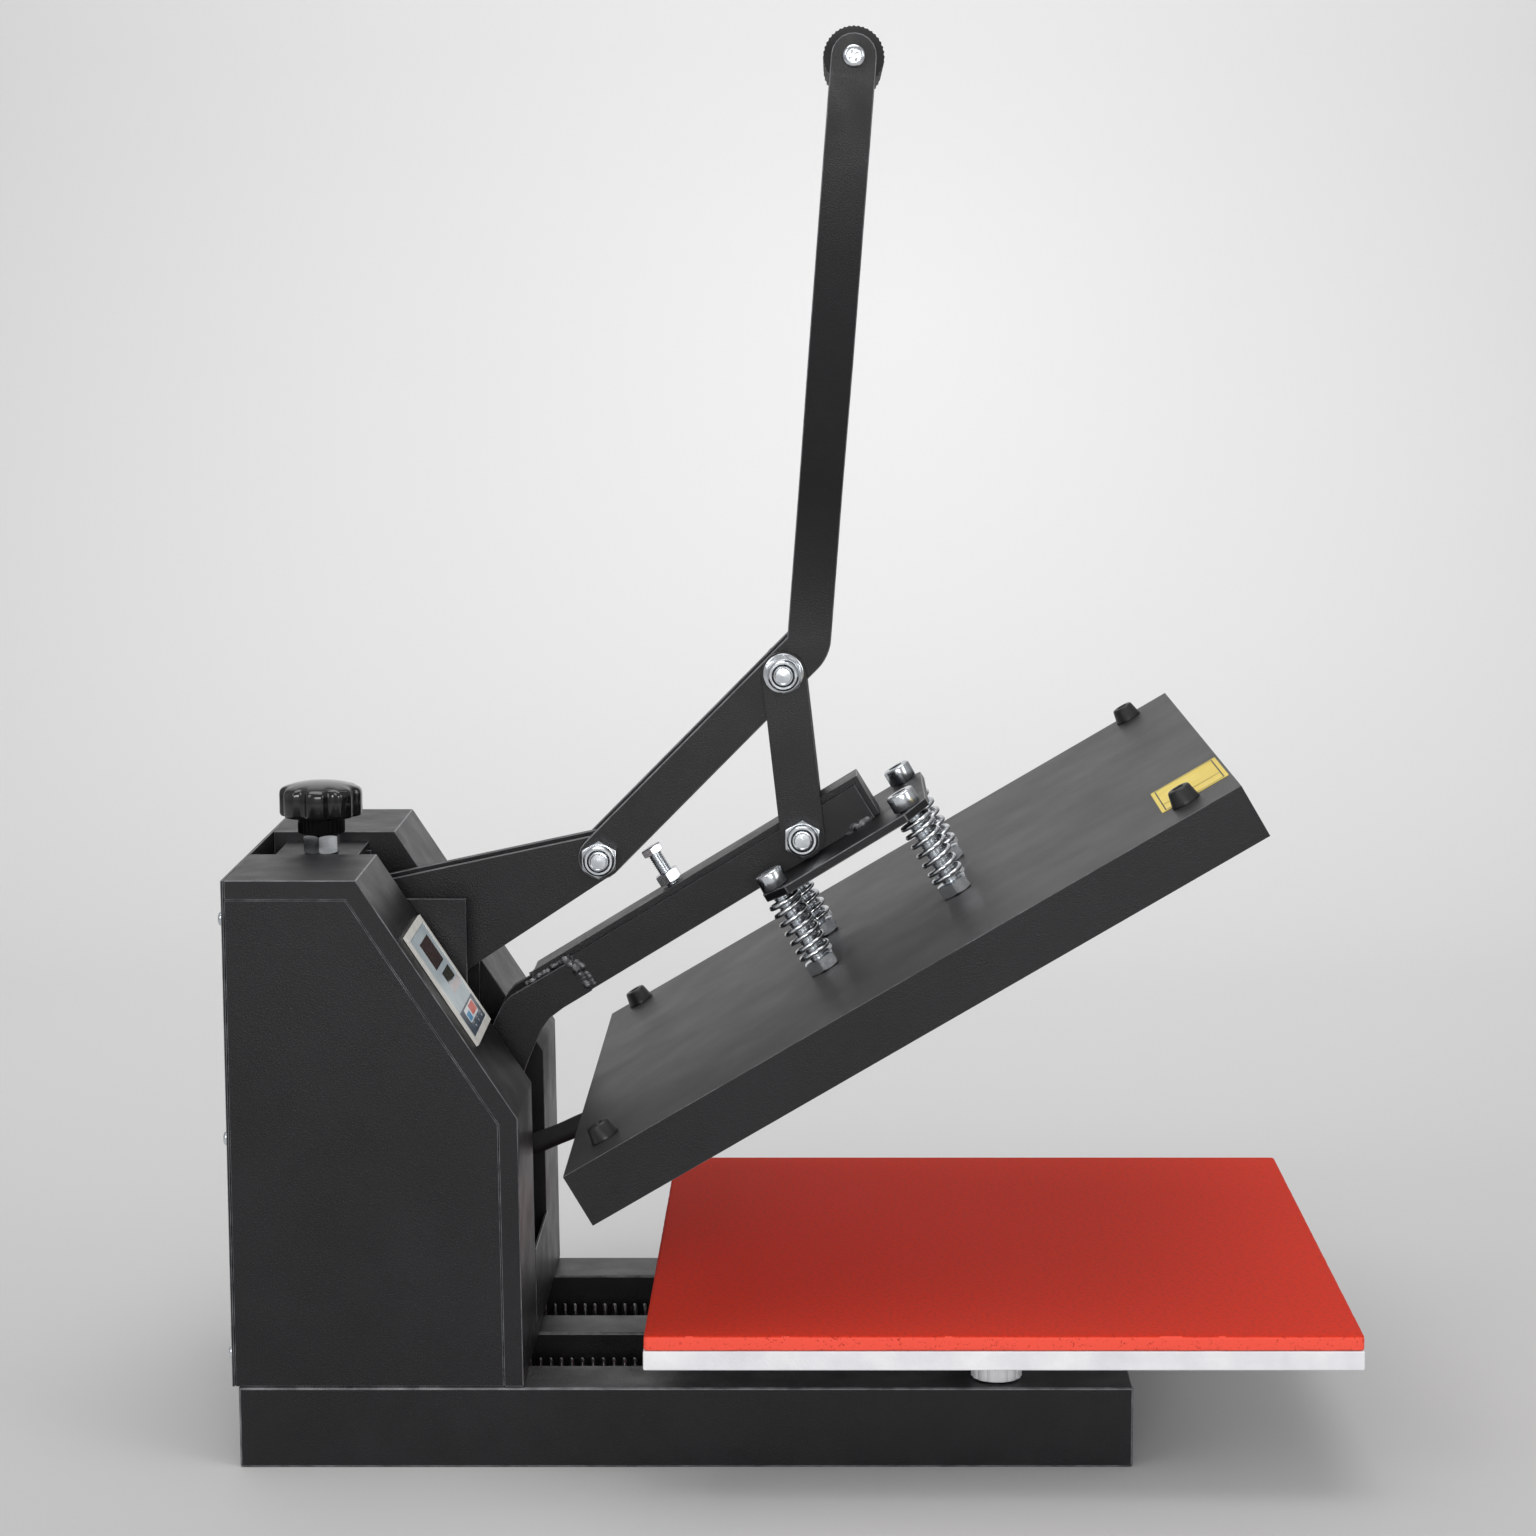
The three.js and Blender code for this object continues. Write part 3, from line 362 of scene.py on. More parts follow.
def soften(name, width, highlight_slot=True):
    """Rounds the long edges of a CAD node with a modifier, and gives the rounded faces a lighter coat: a
    painted edge highlight.
    """
    node = nodes[name]
    if "custom_normal" in node.data.attributes:
        node.data.attributes.remove(node.data.attributes["custom_normal"])
    node.data.shade_smooth()
    weld = node.modifiers.new("weld", "WELD")
    weld.merge_threshold = WELD_DISTANCE
    flatten = node.modifiers.new("flatten", "DECIMATE")
    flatten.decimate_type = "DISSOLVE"
    flatten.angle_limit = FLAT_ANGLE
    bevel = node.modifiers.new("bevel", "BEVEL")
    bevel.width = width * MM
    bevel.segments = 2
    bevel.limit_method = "ANGLE"
    bevel.angle_limit = EDGE_ANGLE
    bevel.use_clamp_overlap = True
    bevel.harden_normals = True
    # The bevel faces take the lighter coat, a painted edge highlight.
    if highlight_slot:
        if len(node.data.materials) < 2:
            node.data.materials.append(painted_edge_highlight)
        bevel.material = 1


# ------------------------------------------------------------------ camera, floor and light
CAMERA_PLACE, CAMERA_DIP = (0.07879, -1.95442, 0.63937), 7.898


def place_camera():
    """The photograph's viewpoint: level from side to side, and dipped a little."""
    data = bpy.data.cameras.new("camera")
    data.sensor_width = 36
    data.lens = 81.3
    data.shift_x = -0.0408
    data.clip_end = 40
    camera = bpy.data.objects.new("camera", data)
    camera.location = CAMERA_PLACE
    camera.rotation_euler = (math.radians(90 - CAMERA_DIP), 0, 0)
    bpy.context.scene.collection.objects.link(camera)
    bpy.context.scene.camera = camera


def backdrop_material():
    """Pale grey paper with a painted pool of light: lightest in the middle of the wall, darker away from it.
    """
    material, tree, shader = new_material("backdrop_paper_painted_light_pool")
    shader.inputs["Roughness"].default_value = 0.95
    shader.inputs["Specular IOR Level"].default_value = 0.1
    coordinates = tree.nodes.new("ShaderNodeTexCoord")
    # Colour fades with distance from a point on the wall: a painted pool of light.
    distance = tree.nodes.new("ShaderNodeVectorMath")
    distance.operation = "DISTANCE"
    distance.inputs[1].default_value = (0.15, 2.0, 0.62)
    tree.links.new(coordinates.outputs["Object"], distance.inputs[0])
    share = add_range(tree, distance.outputs["Value"], 0, 1, 0, 2.4)
    stops = [(0, srgb(246, 246, 246)), (0.45, srgb(222, 222, 222)), (1, srgb(196, 196, 196))]
    tree.links.new(add_ramp(tree, share, stops), shader.inputs["Base Color"])
    return material


def build_backdrop():
    """A floor that curves up into a wall, out of the press's way."""
    bend_steps = 12
    bend, floor_end, wall_top, half = 0.9, 1.2, 5.0, 6.0
    profile = [(-4.0, 0.0), (floor_end, 0.0)]
    for k in range(1, bend_steps + 1):
        a = math.radians(90 * k / bend_steps)
        profile.append((floor_end + bend * math.sin(a), bend - bend * math.cos(a)))
    profile.append((floor_end + bend, wall_top))
    mesh = bmesh.new()
    rows = [[mesh.verts.new((x, y, z)) for x in (-half, half)] for y, z in profile]
    for low, high in zip(rows, rows[1:]):
        mesh.faces.new((low[0], low[1], high[1], high[0]))
    data = bpy.data.meshes.new("backdrop")
    mesh.to_mesh(data)
    mesh.free()
    data.shade_smooth()
    data.materials.append(backdrop_material())
    thing = bpy.data.objects.new("backdrop", data)
    bpy.context.scene.collection.objects.link(thing)


def add_light(name, place, target, size, power):
    data = bpy.data.lights.new(name, "AREA")
    data.shape = "RECTANGLE"
    data.size, data.size_y = size
    data.energy = power
    lamp = bpy.data.objects.new(name, data)
    lamp.location = place
    lamp.rotation_euler = (Vector(target) - Vector(place)).to_track_quat("-Z", "Y").to_euler()
    bpy.context.scene.collection.objects.link(lamp)


def light_studio():
    world = bpy.data.worlds.new("studio")
    world.use_nodes = True
    background = world.node_tree.nodes["Background"]
    background.inputs["Color"].default_value = (1, 1, 1, 1)
    background.inputs["Strength"].default_value = 0.42
    bpy.context.scene.world = world
    add_light("overhead", (-0.2, -0.35, 2.9), (0.05, 0, 0.2), (2.4, 1.8), 36)
    add_light("left_front", (-1.7, -1.9, 1.7), (0, 0, 0.3), (1.0, 1.4), 12)
    add_light("right_front", (2.1, -1.6, 1.2), (0, 0, 0.3), (0.9, 1.4), 9)
    add_light("front_box", (0.1, -3.3, 0.9), (0.1, 0, 0.88), (1.6, 0.6), 28)
    add_light("wall_wash", (0.1, 0.9, 2.2), (0.1, 2.1, 0.9), (2.6, 0.6), 7)
    bpy.context.scene.view_settings.view_transform = "Standard"


place_camera()
build_backdrop()
light_studio()


# ------------------------------------------------------------------ CAD nodes that stay
def paint_frame():
    """Gives each CAD node its finish. The lid's upward faces get a lighter copy of the powder coat: painted
    light from above.
    """
    finishes = {
        "coated_steel": powder, "zinc": zinc, "cast_aluminium": aluminium, "silicone": sponge_top,
        "gloss_black": gloss, "black_rubber": rubber, "spring_steel": dark_spring,
        "panel_plastic": bezel_plastic, "window_plastic": red_window, "key_plastic": slate_film,
        "circuit_board": board, "mineral_fibre": fibre, "inlet_plastic": inlet,
    }
    for node in nodes.values():
        finish = finishes[node.data.materials[0].name.split(".")[0]]
        node.data.materials.clear()
        node.data.materials.append(finish)
    nodes["display_lower"].data.materials[0] = olive_window
    lid = nodes["heater_cover"].data
    lid.materials.append(painted_edge_highlight)
    lid.materials.append(lid_painted_top_light)
    # Faces turned up take the lighter copy: painted light from above.
    for face in lid.polygons:
        face.material_index = 2 if face.normal.dot(Vector(OFF_COVER)) > 0.9 else 0


paint_frame()
SOFT_EDGES = {
    "base_frame": 1.2, "base_centre_beam": 1.5, "tower_near_cover": 0.5, "tower_far_cover": 0.5,
    "tower_near_panel": 0.4, "tower_far_panel": 0.4, "rear_panel": 0.4, "slot_plate": 0.4,
    "mast_near_plate": 0.4, "mast_far_plate": 0.4, "mast_bridge": 0.5, "heater_cover": 0.7,
    "arm_tube": 1.2, "arm_near_bar": 0.6, "arm_far_bar": 0.6, "cross_plate": 0.6,
    "lever_near_bar": 0.6, "lever_far_bar": 0.6, "link_near": 0.6, "link_far": 0.6,
    "bracket_near_plate": 0.6, "bracket_far_plate": 0.6,
}
PLAIN_EDGES = {
    "lower_platen": 0.8, "heat_plate": 0.8, "power_inlet": 0.5, "power_rocker": 0.5, "control_bezel": 0.35,
}
for node_name, edge in SOFT_EDGES.items():
    soften(node_name, edge)
for node_name, edge in PLAIN_EDGES.items():
    soften(node_name, edge, highlight_slot=False)


# ------------------------------------------------------------------ platen screws and their springs
SCREW_ALONG, SCREW_ACROSS = (157.5, 243.0), 52.0
PLATE_LOW, PLATE_HIGH, PLATE_CLEARANCE = 49, 53.9, 0.5
LEAN_CENTRE = 181.8  # where along the lid the leaning arm's plate keeps its height
SPRING_FOOT, SPRING_RADIUS, SPRING_WIRE, SPRING_TURNS, SPRING_KEEP = 8.2, 8.5, 2.9, 7.3, 0.81


def coil_line(radius, wire, low, high, turns, steps=26):
    """Centre line of a compression spring with a flat dead turn at each end."""
    dead = wire * 1.02
    active = (high - low - wire - 2 * dead) / (turns - 2)
    line = []
    for i in range(int(turns * steps) + 1):
        t = i / steps
        a = 2 * math.pi * t
        rise = min(t, 1) * dead + min(max(t - 1, 0), turns - 2) * active + max(t - turns + 1, 0) * dead
        line.append((radius * math.cos(a), radius * math.sin(a), low + wire / 2 + rise))
    return line


def cap_screw(name, place, seat):
    """A socket cap screw with a knurled head, and the hexagon nut that locks it on the lid."""
    steps = 96

    def knurled(radius):
        return circle(lambda a: radius + 0.22 * abs(math.sin(24 * a)) - 0.11, steps)

    socket = circle(hexagon(8), steps)
    rows = [(circle(POINT, steps), 0), (circle(7.6, steps), 0), (knurled(8), 0.6), (knurled(8), 8.4),
            (circle(7.8, steps), 9.1), (circle(7.2, steps), 9.6), (socket, 9.6), (socket, 4.8),
            (circle(POINT, steps), 3.6)]
    head = stack(rows, seat)
    shank = turned(thread_profile(5, -6, seat + 0.2), 32)
    return build(name, zinc, [head, shank, nut_rings(17, 0.3, 7.6, 4.6)], place)


for side, side_name in ((-1, "near"), (1, "far")):
    for along, row_name in zip(SCREW_ALONG, ("rear", "front")):
        corner = f"{row_name}_{side_name}"
        lift = (along - LEAN_CENTRE) * math.tan(ARM_LEAN)
        place = axes(on_cover(along, side * SCREW_ACROSS, 0), ALONG_COVER, OFF_COVER)
        screw = cap_screw(f"cap_screw_{corner}", place, PLATE_HIGH + lift + PLATE_CLEARANCE)
        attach(screw, "heater")
        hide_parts(f"platen_screw_{corner}")
        top = PLATE_LOW - PLATE_CLEARANCE + lift
        line = coil_line(SPRING_RADIUS, SPRING_WIRE, SPRING_FOOT, top, SPRING_TURNS)
        spring = build(f"coil_spring_{corner}", spring_zinc, [sweep(line, SPRING_WIRE / 2)], place)
        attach(spring, "heater")
        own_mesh(spring)
        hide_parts(f"platen_spring_{corner}")


# ------------------------------------------------------------------ pivot bolts
LEVER_PIVOT, LINK_TOP, LINK_LOW = (-51.7, 319.5), (52.4, 425.0), (62.95, 332.13)
LEVER_FACE, LINK_FACE = 19.6, 24.9
BOLT_RADIUS = 6


def lock_nut(face):
    """A locking nut with a round collar, and the bolt's end, outwards from the given face."""
    hexagonal = nut_rings(19, face, face + 8.6, BOLT_RADIUS)
    collar = turned([(6.1, face + 6), (8.9, face + 6), (8.9, face + 9.6), (8.5, face + 11.2),
                     (7.6, face + 12), (6.5, face + 12), (6.2, face + 11.2), (6.1, face + 8)], 64)
    threaded = thread_profile(BOLT_RADIUS, face - 4, face + 12.2, 1.75)[:-2]
    tip = [(5.4, face + 13), (4.6, face + 13.2), (4.2, face + 12.9), (1.4, face + 13.1), (0, face + 13.2)]
    return hexagonal, collar, turned(threaded + tip)


def pivot_bolt(name, at, body, node, face):
    """A bolt through the press with a locking nut on its near end and a hexagon head on its far end."""
    out = axes((at[0], 0, at[1]), (1, 0, 0), (0, -1, 0))
    shank = turned([(0, -face), (BOLT_RADIUS, -face), (BOLT_RADIUS, face), (0, face)], 32)
    thing = build(name, zinc, [*lock_nut(face), shank], out)
    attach(thing, body)
    back = axes((at[0], 0, at[1]), (1, 0, 0), (0, 1, 0))
    far = build(f"{name}_far_end", zinc, [nut_rings(18, face, face + 7.5)], back)
    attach(far, body)
    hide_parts(node)


def stud(name, at, side, body, node):
    """A short pivot stud that ends flush inside the link."""
    out = axes((at[0], 0, at[1]), (1, 0, 0), (0, side, 0))
    face, inside = LINK_FACE, LINK_FACE - 5.3
    washer = turned([(6.3, face), (11.2, face), (11.3, face + 0.9), (10.8, face + 1.3),
                     (6.3, face + 1.3)], 64)
    shank = turned([(0, inside), (BOLT_RADIUS, inside), (BOLT_RADIUS, face), (0, face)], 32)
    thing = build(name, zinc, [*lock_nut(face), washer, shank], out)
    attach(thing, body)
    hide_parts(node)


stud("link_nut_near", LINK_TOP, -1, "link", "link_near_stud")
stud("link_nut_far", LINK_TOP, 1, "link", "link_far_stud")
pivot_bolt("link_low_nut", LINK_LOW, "arm", "link_low_bolt", LINK_FACE)
pivot_bolt("lever_pivot_nut", LEVER_PIVOT, "bracket", "lever_pivot_bolt", LEVER_FACE)


# ------------------------------------------------------------------ stop bolt on the arm
STOP_TOP, TUBE_TOP, TUBE_GAP, IN_TUBE = 102.8, 79.5, 0.3, 4


def build_stop_bolt():
    """A hexagon screw with a jam nut, square to the leaning arm."""
    lean = OPEN + ARM_LEAN
    low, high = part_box("stop_bolt")
    axis = Vector((-math.sin(lean), 0, math.cos(lean)))
    across = Vector((math.cos(lean), 0, math.sin(lean)))
    middle = (low + high) / 2 / MM
    length = STOP_TOP - (TUBE_TOP + TUBE_GAP) + IN_TUBE
    place = axes(middle - axis * length / 2, across, axis)
    shank = turned(thread_profile(4, 0, length - 1, 1.25, 0.45), 32)
    nut = nut_rings(13, IN_TUBE, 10.5, 3.7)
    head = nut_rings(11.5, length - 4.2, length)
    bolt = build("stop_screw", zinc, [shank, nut, head], place)
    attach(bolt, "arm")
    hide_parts("stop_bolt")


build_stop_bolt()


# ------------------------------------------------------------------ knob
KNOB_RADIUS = 23.5
KNOB_NUT = (320, 330.7)


def build_knob():
    """A lobed knob on a ribbed neck, and its threaded rod with a nut."""
    low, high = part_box("pressure_knob")
    middle = (low + high) / 2 / MM
    base, top = low.z / MM, high.z / MM
    steps = 256

    def plain(radius):
        return circle(radius, steps)

    def lobed(radius, share=1.0):
        swing = 1.5 * radius / KNOB_RADIUS * share
        return circle(lambda a: radius - swing + swing * math.tanh(2.2 * math.cos(8 * a) + 1), steps)

    def ribbed(radius):
        return circle(lambda a: radius + 0.3 * math.cos(32 * a), steps)

    rows = [(plain(6.4), base), (plain(12.2), base), (ribbed(13), base + 0.8), (ribbed(13.2), base + 8),
            (plain(14.4), base + 9.4), (lobed(21), base + 10), (lobed(22.9), base + 10.6),
            (lobed(KNOB_RADIUS), base + 12), (lobed(KNOB_RADIUS), base + 23.2), (lobed(23.1), base + 25),
            (lobed(22, 0.8), base + 26.3), (lobed(20, 0.5), base + 27.2), (plain(16.5), base + 28.2),
            (plain(12), top - 0.9), (plain(6), top - 0.2), (plain(POINT), top)]
    place = Matrix.Translation((middle.x, middle.y, 0))
    knob = build("knob", gloss, [stack(rows)], place, smooth=55)
    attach(knob, "knob")
    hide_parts("pressure_knob")
    rod_low, rod_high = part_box("pressure_screw")
    rod = turned(thread_profile(6, rod_low.z / MM, rod_high.z / MM, 1.75, 0.6), 40)
    screw = build("knob_screw", zinc, [rod, nut_rings(19, *KNOB_NUT, 5.6)], place)
    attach(screw, "knob")
    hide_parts("pressure_screw")


build_knob()


# ------------------------------------------------------------------ grip and its cross-head bolt
def cross_recess(length, half_width):
    """The radius of a cross-shaped recess at an angle."""
    def radius(angle):
        turn = abs((angle + math.pi / 4) % (math.pi / 2) - math.pi / 4)
        return min(length, half_width / max(math.sin(turn), 1e-6))
    return radius


def pan_head(radius, height):
    """A pan head with a cross recess, standing on z = 0."""
    steps = 96
    recess = circle(cross_recess(radius * 0.55, radius * 0.14), steps)
    rows = [(circle(POINT, steps), 0), (circle(radius, steps), 0), (circle(radius, steps), height * 0.35),
            (circle(radius * 0.93, steps), height * 0.7), (circle(radius * 0.78, steps), height * 0.92),
            (circle(radius * 0.6, steps), height), (recess, height), (recess, height * 0.45),
            (circle(POINT, steps), height * 0.25)]
    return stack(rows)


HEAD_RADIUS, HEAD_HEIGHT = 6.2, 3


def build_grip():
    """The fluted rubber grip, and the bolt that holds it between the lever's bars."""
    low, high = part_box("grip")
    middle = (low + high) / 2 / MM
    half = (high.y - low.y) / 2 / MM
    place = axes(middle, (1, 0, 0), (0, 1, 0))
    steps = 240
    fluted = circle(lambda a: 16.2 + 0.35 * math.cos(40 * a), steps)
    rows = [(circle(4.4, steps), -half), (circle(14.6, steps), -half), (circle(16, steps), -half + 0.7),
            (fluted, -half + 1.8), (fluted, half - 1.8), (circle(16, steps), half - 0.7),
            (circle(14.6, steps), half), (circle(4.4, steps), half)]
    grip = build("handle_grip", rubber, [stack(rows)], place)
    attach(grip, "lever")
    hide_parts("grip")
    bolt_low, bolt_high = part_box("grip_bolt")
    reach = (bolt_high.y - bolt_low.y) / 2 / MM
    shaft = turned([(0, -reach + 2), (4, -reach + 2), (4, reach - 2), (0, reach - 2)], 32)
    rod = build("handle_bolt", zinc, [shaft], place)
    for side, name in ((-1, "near"), (1, "far")):
        seat = axes((middle.x, side * (reach - HEAD_HEIGHT), middle.z), (1, 0, 0.5), (0, side, 0))
        head = build(f"handle_bolt_head_{name}", zinc, [pan_head(HEAD_RADIUS, HEAD_HEIGHT)], seat)
        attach(head, "lever")
    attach(rod, "lever")
    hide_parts("grip_bolt")


build_grip()


# ------------------------------------------------------------------ sponge pad
def build_pad():
    """The silicone sponge sheet: a soft top edge, and a cut side that wavers a little."""
    low, high = pad_low / MM, pad_high / MM
    middle, half = (low + high) / 2, (high - low) / 2
    thick = high.z - low.z
    per_side, per_corner, corner = 96, 4, 2.5

    def outline(inset):
        points = []
        size = half.x - inset
        radius = max(corner - inset * 0.5, 0.5)
        flat = size - radius
        for quarter in range(4):
            start = math.radians(90 * quarter)
            heading = Vector((math.cos(start), math.sin(start), 0))
            side = Vector((-heading.y, heading.x, 0))
            for k in range(per_side):
                points.append(heading * size + side * (flat * (2 * k / per_side - 1)))
            for k in range(per_corner):
                a = start + math.radians(90 * (k + 0.5) / per_corner)
                points.append(heading * flat + side * flat + radius * Vector((math.cos(a), math.sin(a), 0)))
        return points

    rows = [(1.0, 0.0), (0.35, 0.25), (0.2, 1.6), (0.3, 3.2), (0.2, 4.8), (0.3, 6.4), (0.45, thick - 0.7),
            (0.9, thick - 0.2), (2.4, thick), (12, thick)]
    rings = []
    for inset, rise in rows:
        ring = []
        for p in outline(inset):
            place = Vector((middle.x + p.x, middle.y + p.y, low.z + rise))
            waver = noise.noise(place * 0.18) * 0.28 + noise.noise(place * 1.3) * 0.16
            inward = Vector((-p.x, -p.y, 0)).normalized() * abs(waver)
            ring.append(place + inward * (1 if 0 < rise < thick else 0.3))
        rings.append(ring)
    pad = build("sponge_pad", sponge_top, [rings], smooth=60)
    pad.data.materials.append(sponge_cut)
    for face in pad.data.polygons:
        if abs(face.normal.z) < 0.6:
            face.material_index = 1
    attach(pad, "frame")
    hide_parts("silicone_pad")


build_pad()


# ------------------------------------------------------------------ things on the lid
def build_bumpers():
    """Four rubber bumpers on the lid, each with a blind hole in its top."""
    profile = [(0, 0), (8, 0), (8.1, 0.8), (7.6, 2), (6.3, 7.9), (5.8, 8.6), (5.2, 8.8), (3.3, 8.8), (3, 8.2),
               (2.8, 4.4), (0, 4)]
    for along, row_name in ((23, "rear"), (376, "front")):
        for across, side_name in ((-166, "near"), (186, "far")):
            place = axes(on_cover(along, across, 0.05), ALONG_COVER, OFF_COVER)
            bumper = build(f"bumper_{row_name}_{side_name}", bumper_rubber, [turned(profile, 48)], place)
            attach(bumper, "heater")


def build_label():
    """A plain sticker with a thin printed frame."""
    x, y = (362.5, 402.5), (-160, -92)
    sticker = slab("sticker", label_yellow, x, y, (0.05, 0.25), cover_frame, 0.8)
    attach(sticker, "heater")
    edge, rule = 2.2, 0.7
    x0, x1, y0, y1 = x[0] + edge, x[1] - edge, y[0] + edge, y[1] - edge
    bars = [((x0, x1), (y0, y0 + rule)), ((x0, x1), (y1 - rule, y1)), ((x0, x0 + rule), (y0, y1)),
            ((x1 - rule, x1), (y0, y1)), ((x0, x1), (y0 + 17, y0 + 17 + rule))]
    for i, (bar_x, bar_y) in enumerate(bars):
        bar = slab(f"sticker_rule_{i + 1}", label_ink, bar_x, bar_y, (0.2, 0.32), cover_frame, 0.1, 2)
        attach(bar, "heater")


build_bumpers()
build_label()


# ------------------------------------------------------------------ weld beads on the arm
def bead(name, points, size, seed):
    """A weld bead: overlapping drops along a line."""
    line = []
    for a, b in zip(points, points[1:]):
        a, b = Vector(a), Vector(b)
        count = max(2, int((b - a).length / 0.8))
        line += [a.lerp(b, k / count) for k in range(count)]
    line.append(Vector(points[-1]))
    wobble = [p + Vector([noise.noise(p * 0.5 + Vector((seed, k * 7.0, 0))) * size * 0.45 for k in range(3)])
              for p in line]
    length = len(wobble)
    radius = lambda t: size * (0.85 + 0.4 * noise.noise(Vector((t * length * 0.31, seed, 0))))
    thing = build(name, weld_paint_and_painted_glints, [sweep(wobble, radius, 10)], smooth=60)
    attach(thing, "arm")


def lean_point(along, across, above):
    """A place on the leaning arm, from its place on the lid."""
    pivot = Vector((LINK_LOW[0], 0, LINK_LOW[1]))
    point = on_cover(along, across, above)
    turn = Matrix.Rotation(-ARM_LEAN, 4, "Y")
    return pivot + turn @ (point - pivot)


for side, side_name in ((-1, "near"), (1, "far")):
    inner, edge = side * 13.6, side * 18.6
    for i, (shift, size) in enumerate(((0, 3.0), (3.6, 2.2))):
        points = [lean_point(33 + shift, side * 18.2, 56), lean_point(32 + shift, side * 18.4, 70),
                  lean_point(29 + shift, side * 17.4, 76)]
        bead(f"weld_bar_{side_name}_{i + 1}", points, size, 3 + 5 * i)
    bead(f"weld_top_{side_name}", [lean_point(2, inner, 74.8), lean_point(33, inner, 76)], 1.9, 11)
    bead(f"weld_plate_{side_name}", [lean_point(205, edge, 54.8), lean_point(219, edge, 54.6)], 3.6, 23)


# ------------------------------------------------------------------ rear panel screws
PANEL_SCREW_ACROSS, PANEL_SCREW_HEIGHTS = 120.5, (62.6, 182.5, 303.2)


def build_panel_screws():
    panel_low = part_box("rear_panel")[0]
    for height in PANEL_SCREW_HEIGHTS:
        for side, side_name in ((-1, "near"), (1, "far")):
            place = (panel_low.x / MM, side * PANEL_SCREW_ACROSS, height)
            seat = axes(place, (0, 1, 0.4), (-1, 0, 0))
            screw = build(f"panel_screw_{side_name}_{round(height)}", zinc, [pan_head(3.9, 2.6)], seat)
            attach(screw, "frame")


build_panel_screws()


# ------------------------------------------------------------------ control panel
FACE = 1.4
LAYERS = [FACE, FACE + 0.1, FACE + 0.17, FACE + 0.24, FACE + 0.3]
PANEL_X, PANEL_Y = (45.2, 108.5), (-108, -48.8)
KEY_X = 105.4
KEYS = (("key_set", "set_key", -88), ("key_down", "down_key", -74), ("key_up", "up_key", -60))


def film(name, material, x, y, layer, corner=0.6):
    """A printed area on the sloping panel, one of a pile of thin layers."""
    piece = slab(name, material, x, y, LAYERS[layer:layer + 2], slope_frame, corner)
    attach(piece, "frame")


def build_panel():
    """The panel's face, its dark key area, and a plain two-colour symbol."""
    film("panel_face", face_film, PANEL_X, PANEL_Y, 0)
    film("panel_slate", slate_film, (93.5, 108.3), (-107.6, -49), 1)
    film("panel_patch", patch_film, (80, 84.8), (-84, -52.5), 1, corner=0.3)
    film("icon_frame", white_film, (94.6, 102.6), (-93.5, -57.5), 2, corner=1.6)
    film("icon_left", blue_film, (97.2, 101.8), (-92.2, -81), 3)
    film("icon_right", red_film, (95.4, 101.2), (-77, -58.8), 3)
    film("icon_middle", white_film, (95.6, 101.6), (-80.6, -77.6), 3)


def rounded_oval(along, across, steps=40):
    """The outline of a key: an oval that swells towards its corners."""
    points = []
    for k in range(steps):
        a = 2 * math.pi * k / steps
        bulge = (abs(math.cos(a)) ** 4 + abs(math.sin(a)) ** 4) ** -0.25
        points.append((along * bulge * math.cos(a), across * bulge * math.sin(a)))
    return points


def build_keys():
    """Three domed keys, each with a plain mark."""
    for name, body, across in KEYS:
        place = slope_frame @ Matrix.Translation((KEY_X, across, FACE))
        rows = [(rounded_oval(2.6, 4.6), 0.05), (rounded_oval(2.5, 4.5), 0.3), (rounded_oval(2.1, 4.1), 0.5),
                (rounded_oval(1.2, 2.5), 0.58)]
        pad = build(f"{name}_pad", slate_film, [stack(rows)], place)
        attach(pad, body)
        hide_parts(name)
        triangle = circle(1.0, 3)
        mark = build(f"{name}_mark", white_film, [stack([(triangle, 0.55), (triangle, 0.68)])], place)
        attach(mark, body)


build_panel()
build_keys()


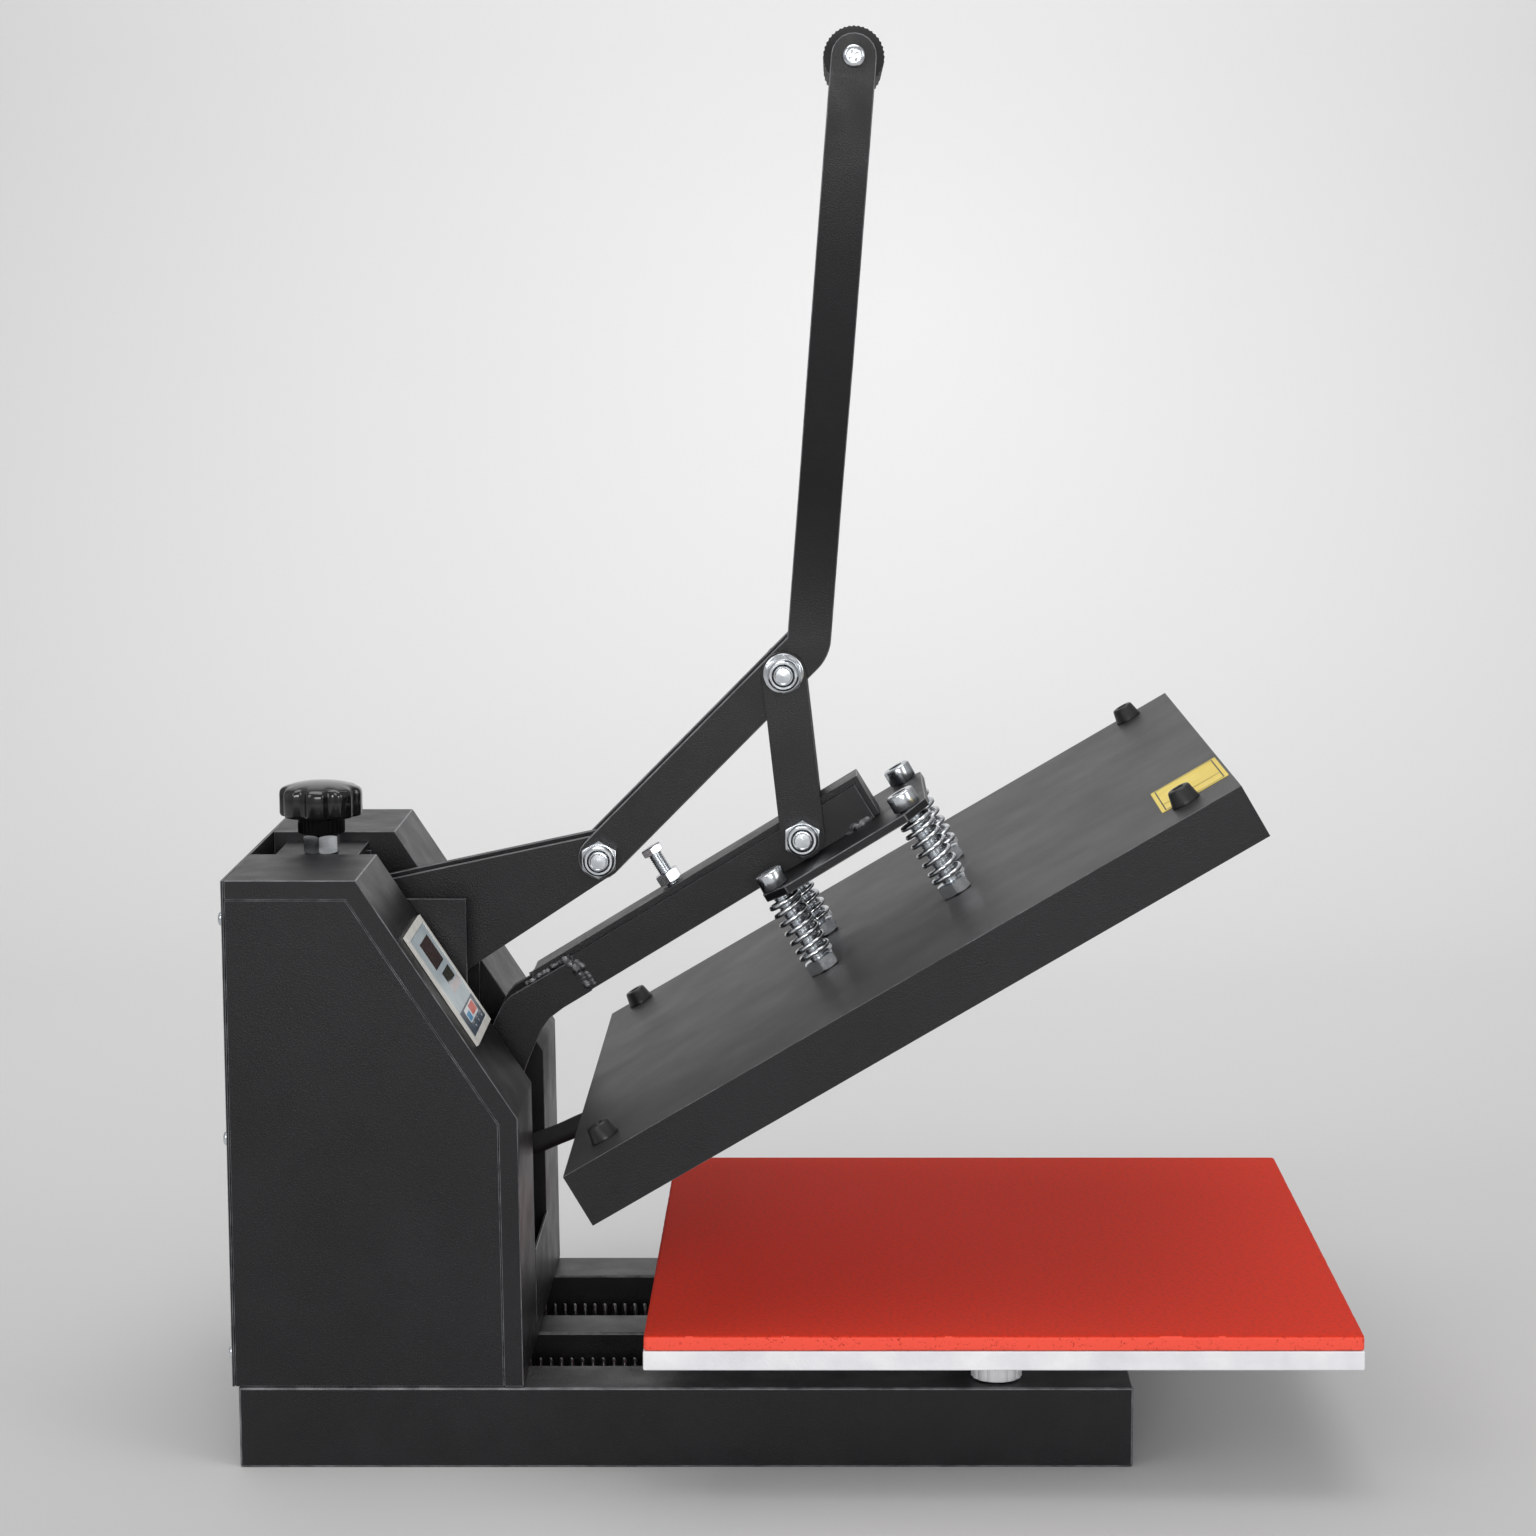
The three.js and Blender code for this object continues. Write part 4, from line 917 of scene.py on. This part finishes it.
def build_long_springs():
    """Two coils beside the centre beam, each with a hook at its rear end."""
    wire, radius, pitch, steps = 1.3, 7.7, 6.0, 18
    for side_name in ("near", "far"):
        low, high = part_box(f"extension_spring_{side_name}")
        middle = (low + high) / 2 / MM
        start, stop = low.x / MM + wire, high.x / MM - wire
        turns = round((stop - start) / pitch)
        line = []
        for i in range(turns * steps + 1):
            a = math.pi + 2 * math.pi * i / steps
            line.append((start + (stop - start) * i / (turns * steps), middle.y + radius * math.cos(a),
                         middle.z + radius * math.sin(a)))
        hook = [(-146, 5.4), (-150.6, 4.4), (-151.8, 1.6), (-151.8, -1.6), (-150.6, -4.6), (-146, -6.6)]
        hook = [(x, middle.y + y, middle.z) for x, y in hook]
        spring = build(f"long_spring_{side_name}", dark_spring, [sweep(hook + line, wire, 10)])
        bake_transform(spring)
        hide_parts(f"extension_spring_{side_name}")


build_long_springs()


# ------------------------------------------------------------------ cable sleeve
def smooth_line(points, steps):
    """A Catmull-Rom curve through the points."""
    points = [Vector(p) for p in points]
    padded = [points[0] * 2 - points[1], *points, points[-1] * 2 - points[-2]]
    line = []
    for a, b, c, d in zip(padded, padded[1:], padded[2:], padded[3:]):
        for k in range(steps):
            t = k / steps
            line.append(0.5 * (2 * b + (c - a) * t + (2 * a - 5 * b + 4 * c - d) * t ** 2
                               + (3 * b - a - 3 * c + d) * t ** 3))
    line.append(points[-1])
    return line


def build_sleeve():
    """The sleeve of the heater's cable, from the tower to the upper platen."""
    route = [(-122, 0, 134), (-108, 0, 142), (-91, 0, 149.6), (-72, 0, 157.5), (-54.6, 0, 165.6)]
    line = smooth_line(route, 8)
    rings = sweep(line, lambda t: 5.9 + 0.12 * math.sin(t * 180), 20)
    sleeve = build("heater_cable", rubber, [rings])
    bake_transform(sleeve)
    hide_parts("cable_sleeve")


build_sleeve()


# ------------------------------------------------------------------ fluted feet of the lower platen
FEET = ((-108.5, "near", 45.3), (0, "middle", 42.3), (108.5, "far", 45.3))


def build_feet():
    """Fluted skirts on the feet. Each stands at its own height, on a rail or on the centre beam."""
    low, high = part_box("lower_platen")
    middle_x = (low.x + high.x) / 2 / MM
    steps = 168

    def fluted(radius):
        return circle(lambda a: radius + 0.8 * abs(math.cos(7 * a)) ** 0.6, steps)

    for across, name, foot in FEET:
        rows = [(circle(12.4, steps), foot + 0.1), (fluted(13.2), foot + 0.8), (fluted(13.6), 70),
                (fluted(15), 73), (circle(17.5, steps), 74.4)]
        place = Matrix.Translation((middle_x, across, 0))
        flutes = build(f"platen_foot_{name}", aluminium, [stack(rows)], place, smooth=50)
        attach(flutes, "frame")


build_feet()
